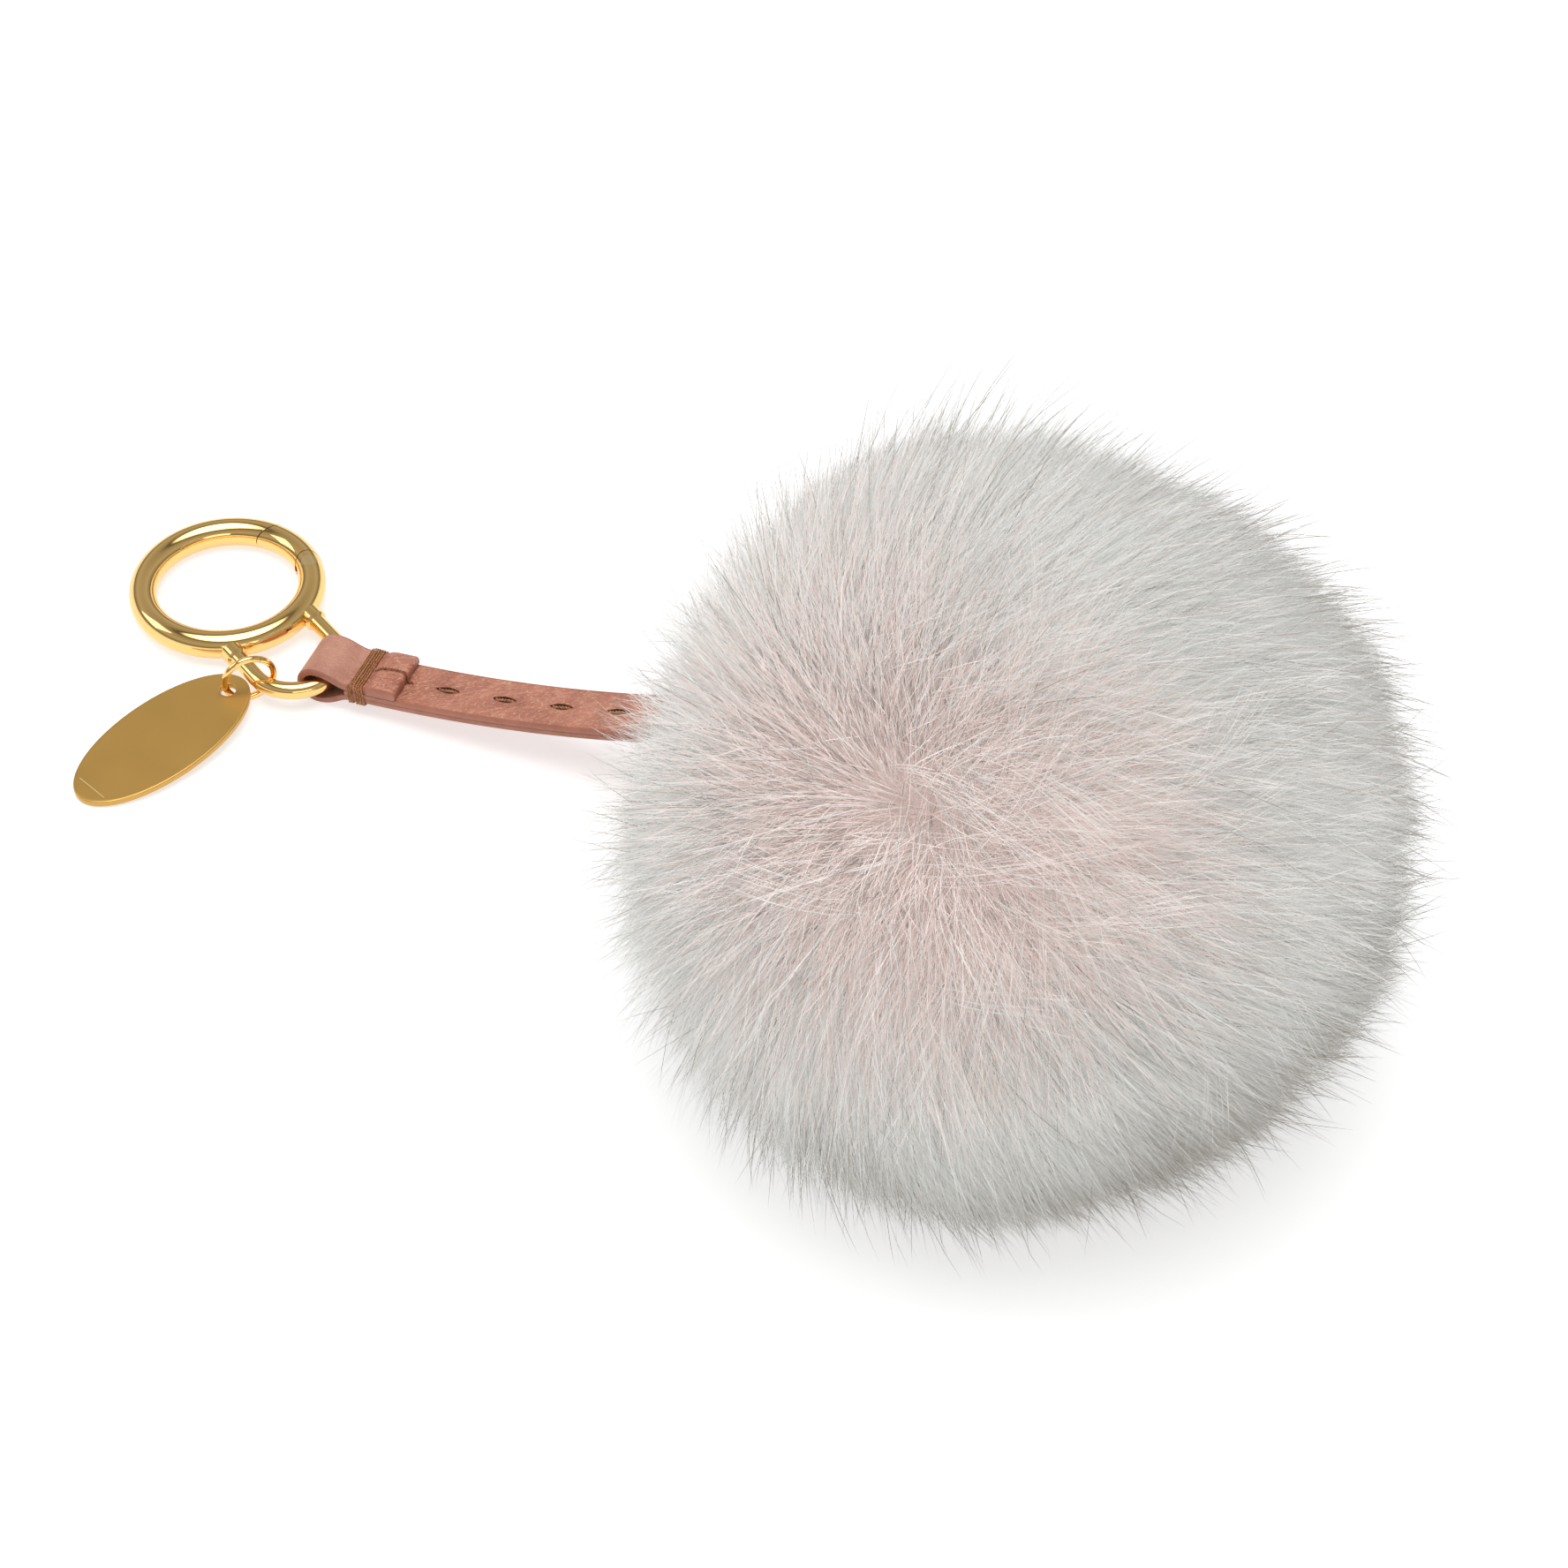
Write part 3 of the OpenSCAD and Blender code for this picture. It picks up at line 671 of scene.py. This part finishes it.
def band(name, path, sections, side_slots, cap_slot):
    """Sweeps closed sections (rows x cols x 2 of y and d) along a path of (s, h) points."""
    t = unit(np.gradient(path, axis=0))
    normal = np.stack([-t[:, 1], t[:, 0]], axis=1)
    rows, cols = sections.shape[:2]
    q = path[:, None, :] + sections[..., 1:] * normal[:, None, :]
    xz = laid(q.reshape(-1, 2)).reshape(rows, cols, 2)
    p = np.stack([xz[..., 0], sections[..., 0], xz[..., 1]], axis=-1).reshape(-1, 3)
    quads = grid_faces(rows, cols)
    faces = [quads.ravel(), np.arange(cols)[::-1], (rows - 1) * cols + np.arange(cols)]
    sizes = np.concatenate([np.full(len(quads), 4), [cols, cols]])
    slots = np.concatenate([np.tile(side_slots, rows - 1), [cap_slot, cap_slot]])
    return fast_mesh(name, from_strap(p), np.concatenate(faces), sizes, slots)


def section(half_t, inner_r, face=44):
    """One leather layer cut across: y and d, and the slot of each side (0 face, 1 edge, 2 inner face)."""
    def corner(side, level, r, angles):
        return [(side * (STRAP_HALF_W - r) + r * math.cos(a), level * (half_t - r) + r * math.sin(a))
                for a in np.radians(angles)]

    outer, inner = STRAP_HALF_W - EDGE_R, STRAP_HALF_W - inner_r
    # Points, their slot, and the slot of the last
    runs = [
        ([(y, half_t) for y in np.linspace(-outer, outer, face)], 0, 1),
        (corner(1, 1, EDGE_R, np.linspace(90, 0, 7)[1:]), 1, 1),
        (corner(1, -1, inner_r, np.linspace(0, -90, 4)), 1, 2),
        ([(y, -half_t) for y in np.linspace(inner, -inner, face // 2)[1:-1]], 2, 2),
        (corner(-1, -1, inner_r, np.linspace(-90, -180, 4)), 1, 1),
        (corner(-1, 1, EDGE_R, np.linspace(180, 90, 7)[:-1]), 1, 1),
    ]
    points = [p for run, _, _ in runs for p in run]
    slots = [v for run, slot, last in runs for v in [slot] * (len(run) - 1) + [last]]
    return np.array(points), np.array(slots)


def ends_rounded(path, sections, r):
    """The last rows of a sweep, drawn in so that the leather's end is rounded."""
    gone = np.concatenate([[0], np.cumsum(np.linalg.norm(np.diff(path, axis=0), axis=1))])
    for dist in (gone, gone[-1] - gone):
        near = dist < r
        k = np.sqrt(np.clip(1 - (1 - dist[near] / r) ** 2, 0, 1))
        k = 0.45 + 0.55 * k
        sections[near, :, 1] *= k[:, None]
        sections[near, :, 0] *= (1 - (1 - k) * 0.05)[:, None]
    return sections


def leather_material(name, dark, light, shine, bump, rough, metallic=0.0, cell=1250.0, vein=0.8, stretch=1.0):
    """Grained leather: rounded pebbles with a pearly shimmer along the creases between them."""
    m = principled(name, light, rough, metallic, Specular_IOR_Level=0.5)
    at = node(m, "ShaderNodeTexCoord")
    lay = node(m, "ShaderNodeMapping")
    lay.inputs["Rotation"].default_value = (0, 0, math.radians(-12))
    lay.inputs["Scale"].default_value = (1.0, stretch, 1.0)
    link(m, at, "Object", lay, "Vector")
    warp = node(m, "ShaderNodeTexNoise", Scale=520.0, Detail=4.0, Roughness=0.6)
    add = node(m, "ShaderNodeVectorMath", operation="MULTIPLY_ADD")
    add.inputs[1].default_value = (0.0013, 0.0013, 0.0013)
    link(m, lay, "Vector", warp, "Vector")
    link(m, warp, "Color", add, 0)
    link(m, lay, "Vector", add, 2)
    pebble = node(m, "ShaderNodeTexVoronoi", feature="SMOOTH_F1", Scale=cell, Smoothness=0.3)
    link(m, add, "Vector", pebble, "Vector")
    crease = node(m, "ShaderNodeTexVoronoi", feature="DISTANCE_TO_EDGE", Scale=cell * 0.62)
    link(m, add, "Vector", crease, "Vector")
    fine = node(m, "ShaderNodeTexNoise", Scale=3600.0, Detail=4.0, Roughness=0.7)
    link(m, at, "Object", fine, "Vector")
    broad = node(m, "ShaderNodeTexNoise", Scale=210.0, Detail=5.0, Roughness=0.6)
    link(m, at, "Object", broad, "Vector")
    tone = ramp(m, [(0.3, dark), (0.62, light)])
    link(m, broad, "Fac", tone, "Fac")
    # The shimmer follows the creases, and comes and goes.
    near_crease = ramp(m, [(0.0, grey(1.0)), (0.16, grey(0.0))])
    link(m, crease, "Distance", near_crease, "Fac")
    streak = node(m, "ShaderNodeTexNoise", Scale=1500.0, Detail=5.0, Roughness=0.75)
    link(m, add, "Vector", streak, "Vector")
    patch = ramp(m, [(0.48, grey(0.0)), (0.66, grey(vein * 0.75))])
    link(m, streak, "Fac", patch, "Fac")
    amount = node(m, "ShaderNodeMath", operation="MULTIPLY")
    link(m, near_crease, "Color", amount, 0)
    link(m, patch, "Color", amount, 1)
    speck = ramp(m, [(0.54, grey(0.0)), (0.70, grey(vein * 0.7))])
    link(m, streak, "Fac", speck, "Fac")
    total = node(m, "ShaderNodeMath", operation="MAXIMUM")
    link(m, amount, 0, total, 0)
    link(m, speck, "Color", total, 1)
    over = node(m, "ShaderNodeMix", data_type="RGBA")
    link(m, total, 0, over, 0)
    link(m, tone, "Color", over, 6)
    over.inputs[7].default_value = (*shine, 1)
    link(m, over, 2, shader(m), "Base Color")
    r = ramp(m, [(0.3, grey(rough - 0.08)), (0.75, grey(rough + 0.14))])
    link(m, fine, "Fac", r, "Fac")
    link(m, r, "Color", shader(m), "Roughness")
    lump = node(m, "ShaderNodeMath", operation="MULTIPLY_ADD")
    lump.inputs[1].default_value = -1.0
    lump.inputs[2].default_value = 1.0
    link(m, pebble, "Distance", lump, 0)
    groove = ramp(m, [(0.0, grey(0.0)), (0.12, grey(1.0))])
    link(m, crease, "Distance", groove, "Fac")
    both = node(m, "ShaderNodeMath", operation="MULTIPLY_ADD")
    both.inputs[1].default_value = 0.6
    link(m, groove, "Color", both, 0)
    link(m, lump, 0, both, 2)
    grain = node(m, "ShaderNodeMath", operation="MULTIPLY_ADD")
    grain.inputs[1].default_value = 0.3
    link(m, fine, "Fac", grain, 0)
    link(m, both, 0, grain, 2)
    bumped(m, grain, 0, bump, 0.00025)
    return m


BIND_X = 7.7


def flap_swell(s):
    """How far the flap swells up past the binding, in mm, at s along the strap."""
    return 0.95 * smooth_step(8.6, 10.6, s) - 0.14 * np.exp(-((s - BIND_X) / 0.9) ** 2)


def under_leather(face, edge, lining, smooth):
    """The under layer: the strap's back, the loop and the flap."""
    back_s = np.arange(STRAP_END, NECK_X + 0.3, -0.5)
    back = np.stack([back_s, np.full(len(back_s), -MID_H)], axis=1)
    a = np.radians(np.linspace(-90, -270, 45))
    fold = np.stack([LOOP_X + FOLD_R * np.cos(a), FOLD_R * np.sin(a)], axis=1)
    t = np.linspace(0, 1, 26)
    flap_s = np.concatenate([np.arange(NECK_X + 0.35, FLAP_END - 0.7, 0.4),
                             FLAP_END - 0.6 * np.array([1, 0.7, 0.45, 0.25, 0.12, 0.03, 0])])
    flap = np.stack([flap_s, np.full(len(flap_s), MID_H)], axis=1)
    path = np.concatenate([back, branch(-1, t)[:-1], fold[:-1], branch(1, t[::-1])[:-1],
                           [[NECK_X, MID_H]], flap])
    shape, slots = section(UNDER_T / 2 - LAYER_GAP, UNDER_INNER_R)
    rows = np.repeat(shape[None], len(path), axis=0)
    flap_row = np.arange(len(path)) >= len(path) - len(flap) - 1
    lift = np.where(flap_row, flap_swell(path[:, 0]), 0)
    crown = 1 - 0.55 * (np.abs(shape[None, :, 0]) / STRAP_HALF_W) ** 4
    rows[..., 1] += lift[:, None] * (shape[None, :, 1] > 0) * crown
    pinch = np.exp(-((path[:, 0] - BIND_X) / 1.3) ** 2)
    rows[..., 0] *= (1 + 0.03 * (lift > 0.1) - 0.03 * pinch)[:, None]
    rows = ends_rounded(path, rows, 0.55)
    mesh = band("leather_under", path, rows, slots, 1)
    # The loop's bend is smoother than the pebbled strap.
    centre = np.zeros(len(mesh.polygons) * 3)
    mesh.polygons.foreach_get("center", centre)
    q = to_strap(centre.reshape(-1, 3) / MM)
    slot = np.zeros(len(mesh.polygons), dtype=np.int32)
    mesh.polygons.foreach_get("material_index", slot)
    slot[(slot == 0) & (q[:, 0] < NECK_X + 0.4)] = 3
    mesh.polygons.foreach_set("material_index", slot)
    new_object("leather_under", mesh, [face, edge, lining, smooth], "strap", ["strap_under"])


def top_leather(face, edge, lining, cut):
    """The top layer, with its lens-shaped slits pressed into it."""
    step = 0.25
    start = NECK_X - 0.8
    s = [start + step * i for i in range(int((STRAP_END - start) / step) + 1)]
    for c in SLITS:
        s += [c + side * (SLIT_L / 2 + d) for side in (-1, 1) for d in (-0.12, -0.05, 0.0, 0.05)]
    s = np.array(sorted(set(round(v, 4) for v in s)))
    path = np.stack([s, np.zeros(len(s))], axis=1)
    shape, slots = section(TOP_T / 2 - LAYER_GAP, TOP_INNER_R, TOP_COLS)
    rows = np.repeat(shape[None], len(path), axis=0)
    lens_r = (SLIT_L ** 2 / 4 + SLIT_W ** 2 / 4) / SLIT_W
    gap = np.min(np.abs(s[:, None] - np.array(SLITS)[None, :]), axis=1)
    half = np.sqrt(np.maximum(lens_r ** 2 - gap ** 2, 0)) - (lens_r - SLIT_W / 2)
    open_ = gap < SLIT_L / 2
    closed = np.interp(gap, [SLIT_L / 2, SLIT_L / 2 + 1.5], [0.05, 0.8])
    eff = np.where(open_, np.maximum(half, 0.05), closed)
    deep = np.where(open_, np.clip(half / 0.14, 0, 1), 0.0)
    mid = TOP_COLS // 2
    # Columns from the middle out: their share of the slit's half width, and how far they are sunk
    inner = [0.0, 0.4, 0.72, 0.88, 0.94, 1.0]
    sunk = [1.0, 1.0, 0.98, 0.8, 0.35, 0.06]
    far = STRAP_HALF_W - EDGE_R
    for j in range(mid + 1):
        if j < len(inner):
            y = eff * inner[j]
            drop = deep * sunk[j] * (TOP_T - 0.1)
        else:
            f = (j - len(inner) + 1) / (mid - len(inner) + 1)
            y = eff + 0.09 + (far - eff - 0.09) * f if j < mid else np.full(len(s), far)
            drop = deep * 0.03 * (j == len(inner))
        for k in {mid + j, mid - j}:
            rows[:, k, 0] = y if k > mid else -y
            rows[:, k, 1] = shape[0, 1] - drop
    # The leather swells a little over its middle and dips beside each slit.
    y = rows[:, :TOP_COLS, 0]
    swell = 0.10 * (1 - (y / STRAP_HALF_W) ** 2) - 0.05
    rows[:, :TOP_COLS, 1] += np.where(open_[:, None] & (np.abs(y) < eff[:, None] * 0.99), 0, swell)
    rows = ends_rounded(path, rows, 0.4)
    mesh = band("leather_top", path, rows, slots, 1)
    # Inside a slit the cut leather shows, coloured near black: mostly painted shade in the slit's hollow.
    slot = np.tile(slots, len(s) - 1)
    col = np.tile(np.arange(len(slots)), len(s) - 1)
    row = np.repeat(np.arange(len(s) - 1), len(slots))
    slot[(col >= mid - 5) & (col < mid + 5) & (deep[row] > 0.3)] = 3
    mesh.polygons.foreach_set("material_index", np.concatenate([slot, [1, 1]]).astype(np.int32))
    new_object("leather_top", mesh, [face, edge, lining, cut], "strap", ["strap_top"])


def leather():
    face = leather_material("pink_leather", (0.38, 0.125, 0.078), (0.56, 0.22, 0.14), (0.90, 0.58, 0.38),
                            0.75, rough=0.33, metallic=0.12, cell=820.0, vein=0.95, stretch=1.5)
    smooth = leather_material("pink_leather_smooth", (0.45, 0.19, 0.13), (0.56, 0.27, 0.19),
                              (0.84, 0.56, 0.40), 0.2, rough=0.36, metallic=0.1, vein=0.45, stretch=1.4)
    edge = leather_material("edge_paint", (0.29, 0.095, 0.055), (0.40, 0.145, 0.088), (0.50, 0.22, 0.14),
                            0.16, rough=0.38, vein=0.3)
    lining = leather_material("leather_lining", (0.20, 0.085, 0.06), (0.30, 0.14, 0.10), (0.40, 0.22, 0.16),
                              0.4, rough=0.7, vein=0.2)
    # Near black: painted shade inside the slits.
    cut = principled("slit_painted_shade", (0.085, 0.035, 0.022), 0.85, Specular_IOR_Level=0.2)
    mottled(cut, (0.05, 0.02, 0.012), (0.14, 0.06, 0.04), 3000.0, 3.0)
    under_leather(face, edge, lining, smooth)
    top_leather(face, edge, lining, cut)


# ---------------------------------------------------------------- thread
PLIES = 2
PLY_SIDES = 8
PLY_R, PLY_OFFSET = 0.54, 0.5


def resampled(p, step):
    gone = np.concatenate([[0], np.cumsum(np.linalg.norm(np.diff(p, axis=0), axis=1))])
    at = np.linspace(0, gone[-1], max(int(gone[-1] / step), 4))
    return np.stack([np.interp(at, gone, p[:, i]) for i in range(3)], axis=1), at


def carried_frames(p):
    t = unit(np.gradient(p, axis=0))
    first = np.cross(t[0], [0, 0, 1.0])
    if np.linalg.norm(first) < 0.2:
        first = np.cross(t[0], [0, 1.0, 0])
    u = [unit(first)]
    for i in range(1, len(p)):
        v = u[-1] - (u[-1] @ t[i]) * t[i]
        u.append(unit(v))
    u = np.array(u)
    return t, u, np.cross(t, u)


def tube_parts(p, r, start):
    """A tube of radius r along p: its points, its side quads and its two end faces."""
    _, u, v = carried_frames(p)
    a = 2 * math.pi * np.arange(PLY_SIDES) / PLY_SIDES
    outward = np.cos(a)[None, :, None] * u[:, None] + np.sin(a)[None, :, None] * v[:, None]
    ring = p[:, None] + r * outward
    end = np.arange(PLY_SIDES)
    last = (len(p) - 1) * PLY_SIDES
    return ring.reshape(-1, 3), grid_faces(len(p), PLY_SIDES, start), end[::-1] + start, last + end + start


def thread(name, paths, r, pitch, material, node_name, step=0.12):
    """Twisted thread of radius r along each path."""
    points, faces, sizes, start = [], [], [], 0
    for path in paths:
        p, gone = resampled(path, step)
        _, u, v = carried_frames(p)
        for k in range(PLIES):
            a = 2 * math.pi * (gone / pitch + k / PLIES)
            q = p + r * PLY_OFFSET * (np.cos(a)[:, None] * u + np.sin(a)[:, None] * v)
            pts, quads, cap_a, cap_b = tube_parts(q, r * PLY_R, start)
            points.append(pts)
            faces += [quads.ravel(), cap_a, cap_b]
            sizes += [np.full(len(quads), 4), [PLY_SIDES], [PLY_SIDES]]
            start += len(pts)
    mesh = fast_mesh(name, np.concatenate(points), np.concatenate(faces), np.concatenate(sizes))
    new_object(name, mesh, [material], "strap", [node_name])


def thread_material(name, dark, light):
    m = principled(name, light, 0.62, Specular_IOR_Level=0.35)
    bumped(m, mottled(m, dark, light, 2600.0), "Fac", 0.35, 0.0001)
    return m


def woolly_material(name, dark, light, size=900.0, lump=0.0006):
    """Matted fibre: a noisy tone over a noisy surface."""
    m = principled(name, light, 0.9, Specular_IOR_Level=0.1)
    bumped(m, mottled(m, dark, light, size), "Fac", 0.6, lump)
    return m


def on_strap(s, y, h):
    """Points at s along the strap, y across it and h above its middle line."""
    xz = laid(np.stack([np.asarray(s, float), np.asarray(h, float)], axis=1))
    return from_strap(np.stack([xz[:, 0], np.asarray(y, float), xz[:, 1]], axis=1))


def threads():
    brown = thread_material("brown_thread", (0.14, 0.045, 0.02), (0.38, 0.145, 0.065))
    tan = thread_material("tan_thread", (0.22, 0.075, 0.028), (0.62, 0.28, 0.12))
    r, strand_r = 0.2, 0.14
    top = MID_H + UNDER_T / 2
    wrap_w = STRAP_HALF_W * 0.985 + r
    squareness = 0.085

    def wrap(turns, more, points, middle, pitch, slant):
        """Turns of thread round the stacked leathers, pitch apart."""
        a = np.linspace(0, 2 * math.pi * turns, points) + more
        c, s = np.cos(a), np.sin(a)
        y = np.sign(c) * np.abs(c) ** squareness * wrap_w
        h = np.sign(s) * np.abs(s) ** squareness * (top + r + 0.02)
        gone = (a - a[0]) / (2 * math.pi)
        x = middle + pitch * (gone - gone[-1] / 2) - slant * (1 - c) / 2 * (1 - 0.5 * s)
        h = h + np.where(h > 0, flap_swell(x), 0)
        return on_strap(x, y, h)

    thread("binding_thread", [wrap(4, 0.2, 900, BIND_X, 0.46, 0.0)], r, 0.9, tan, "neck_binding")
    strands = wrap(3, 0.9, 700, BIND_X - 1.0, 0.34, 0.75)
    thread("binding_strands", [strands], strand_r, 0.8, tan, "neck_binding", step=0.15)

    # The flap's thread runs along it, over its end and down into the leather.
    s_top = np.linspace(8.9, FLAP_END - 0.75, 40)
    h_top = top + flap_swell(s_top) + 0.06
    end = top + float(flap_swell(np.array([FLAP_END]))[0])
    down = TOP_T / 2
    over = [(-0.3, end - 0.02), (0.02, end - 0.3), (0.14, end - 0.8), (0.16, down + 0.75),
            (0.35, down + 0.3), (0.8, down + 0.14), (1.2, down - 0.1)]
    route = np.concatenate([np.stack([s_top, h_top], axis=1), [(FLAP_END + s, h) for s, h in over]])
    flap_path = on_strap(route[:, 0], 0.12 * np.sin(route[:, 0] * 1.1), route[:, 1])
    thread("flap_thread", [flap_path], 0.3, 1.1, brown, "flap_stitch")
    e = np.linspace(-1.8, 1.8, 25)
    paths = [on_strap(c + e, 0.06 * np.sin(e * 2), 0.32 + 0.05 * np.cos(e)) for c in SLITS]
    thread("slit_threads", paths, 0.3, 1.2, tan, "slit_stitches")


# ---------------------------------------------------------------- tag
TAG_HOLE = np.array([2.45366, -26.5077, 0.0224418])
TAG_TURN, TAG_TIP = math.radians(45), math.radians(4.03)
TAG_L, TAG_W, TAG_T, TAG_EDGE = 37.0, 17.5, 1.2, 3.6
TAG_HOLE_R, TAG_HOLE_EDGE, TAG_BEVEL = 1.4, 0.15, 0.24
TAG_TONE = (0.62, 0.37, 0.105)
HAIRLINE_X, HAIRLINE_HALF_L, HAIRLINE_HALF_W = -30.5, 3.3, 0.08


def tag():
    ct, st, cp, sp = math.cos(TAG_TURN), math.sin(TAG_TURN), math.cos(TAG_TIP), math.sin(TAG_TIP)
    # As in the CAD part: tipped about Y by minus the tip, then turned about Z
    x_axis = np.array([cp * ct, cp * st, sp])
    y_axis = np.array([-st, ct, 0.0])
    z_axis = np.cross(x_axis, y_axis)
    n = 320
    a = 2 * math.pi * np.arange(n) / n
    d = np.stack([np.cos(a), np.sin(a)], axis=1)
    cx = TAG_EDGE - TAG_L / 2

    def rim(inset):
        """The oval's outline, drawn in by inset, as seen from the hole."""
        half_l, half_w = TAG_L / 2 - inset, TAG_W / 2 - inset
        qa = d[:, 0] ** 2 / half_l ** 2 + d[:, 1] ** 2 / half_w ** 2
        qb = 2 * (-cx) * d[:, 0] / half_l ** 2
        qc = cx ** 2 / half_l ** 2 - 1
        return d * ((-qb + np.sqrt(qb ** 2 - 4 * qa * qc)) / (2 * qa))[:, None]

    def hole_edge(k):
        out = TAG_HOLE_R + TAG_HOLE_EDGE * (1 - math.cos(k))
        return d * out, half - TAG_HOLE_EDGE + TAG_HOLE_EDGE * math.sin(k)

    def bevel(k):
        return rim(TAG_BEVEL * (1 - math.sin(k))), half - TAG_BEVEL + TAG_BEVEL * math.cos(k)

    # Loops from the hole's wall over the top face, down the rim and back along the underside
    half = TAG_T / 2 - 0.006
    inner, outer = d * (TAG_HOLE_R + TAG_HOLE_EDGE), rim(TAG_BEVEL)
    loops = [(d * TAG_HOLE_R, (2 * f - 1) * (half - TAG_HOLE_EDGE)) for f in (0.0, 0.5, 1.0)]
    loops += [hole_edge(k) for k in np.radians([30, 60, 90])]
    loops += [(inner * (1 - f) + outer * f, half) for f in (0.03, 0.1, 0.25, 0.45, 0.65, 0.82, 0.93, 0.98)]
    loops += [bevel(k) for k in np.radians(range(0, 91, 15))]
    loops += [(xy, -z) for xy, z in map(bevel, np.radians(range(90, -1, -15)))]
    loops += [(inner * (1 - f) + outer * f, -half) for f in (0.98, 0.82, 0.45, 0.1, 0.03)]
    loops += [(xy, -z) for xy, z in map(hole_edge, np.radians([90, 60, 30]))]
    pts = []
    for xy, z in loops:
        pts.append(TAG_HOLE + xy[:, :1] * x_axis + xy[:, 1:] * y_axis + z * z_axis)
    rows = len(loops)
    quads = grid_faces(rows, n)
    close = np.stack([(rows - 1) * n + np.arange(n), (rows - 1) * n + (np.arange(n) + 1) % n,
                      (np.arange(n) + 1) % n, np.arange(n)], axis=1)
    quads = np.concatenate([quads, close])[:, ::-1]
    mesh = fast_mesh("oval_tag", np.concatenate(pts), quads.ravel(), np.full(len(quads), 4))

    m = metal("satin_gold", TAG_TONE, 0.34, 0.40, grain=3800.0, bump=0.0)
    at = node(m, "ShaderNodeTexCoord")
    lay = node(m, "ShaderNodeMapping")
    lay.inputs["Rotation"].default_value = (0, 0, -TAG_TURN)
    c, s = math.cos(-TAG_TURN), math.sin(-TAG_TURN)
    hx, hy = TAG_HOLE[0] * MM, TAG_HOLE[1] * MM
    lay.inputs["Location"].default_value = (-(c * hx - s * hy), -(s * hx + c * hy), 0)
    link(m, at, "Object", lay, "Vector")
    brush = node(m, "ShaderNodeMapping")
    brush.inputs["Scale"].default_value = (260, 5200, 900)
    link(m, lay, "Vector", brush, "Vector")
    grain = node(m, "ShaderNodeTexNoise", Scale=1.0, Detail=5.0, Roughness=0.65)
    link(m, brush, "Vector", grain, "Vector")
    # One plain hairline across the far end
    split = node(m, "ShaderNodeSeparateXYZ")
    link(m, lay, "Vector", split, 0)

    def band_mask(axis, centre, half_width):
        sub = node(m, "ShaderNodeMath", operation="SUBTRACT")
        sub.inputs[1].default_value = centre * MM
        link(m, split, axis, sub, 0)
        size = node(m, "ShaderNodeMath", operation="ABSOLUTE")
        link(m, sub, 0, size, 0)
        less = node(m, "ShaderNodeMath", operation="LESS_THAN")
        less.inputs[1].default_value = half_width * MM
        link(m, size, 0, less, 0)
        return less

    across = band_mask("X", HAIRLINE_X, HAIRLINE_HALF_W)
    along = band_mask("Y", 0.0, HAIRLINE_HALF_L)
    mark = node(m, "ShaderNodeMath", operation="MULTIPLY")
    link(m, across, 0, mark, 0)
    link(m, along, 0, mark, 1)
    tone = node(m, "ShaderNodeMix", data_type="RGBA")
    tone.inputs[6].default_value = (*TAG_TONE, 1)
    tone.inputs[7].default_value = (0.98, 0.74, 0.36, 1)
    link(m, mark, 0, tone, 0)
    link(m, tone, 2, shader(m), "Base Color")
    depth = node(m, "ShaderNodeMath", operation="MULTIPLY_ADD")
    depth.inputs[1].default_value = -3.0
    link(m, mark, 0, depth, 0)
    link(m, grain, "Fac", depth, 2)
    bumped(m, depth, 0, 0.12, 0.00005)
    new_object("oval_tag", mesh, [m], "tag_body", ["tag"])


# ---------------------------------------------------------------- build
stage()
gold = metal("polished_gold", (0.95, 0.62, 0.23), 0.05, 0.12)
white_cord = thread_material("white_cord", (0.62, 0.60, 0.57), (0.86, 0.85, 0.82))
LOOKS = {
    "ring_body": gold,
    "ring_gate": gold,
    "gate_pin": metal("pin_gold", (0.93, 0.68, 0.32), 0.2, 0.23, grain=7000.0, bump=0.002),
    "d_loop": gold,
    "jump_ring": gold,
    "gate_spring": metal("spring_steel", (0.56, 0.56, 0.58), 0.25, 0.35),
    "pom_cord": white_cord,
    "cord_knot": white_cord,
    "gather_thread": thread_material("gather_thread", (0.55, 0.50, 0.46), (0.78, 0.74, 0.70)),
    "pelt_skin": woolly_material("pelt_leather", (0.62, 0.50, 0.42), (0.80, 0.70, 0.62), 700.0, 0.0002),
    "core_stuffing": woolly_material("stuffing", (0.74, 0.74, 0.73), (0.90, 0.90, 0.89)),
}
for name, look in LOOKS.items():
    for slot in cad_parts[name].material_slots:
        slot.material = look
leather()
threads()
tag()
felt_body()
fur()
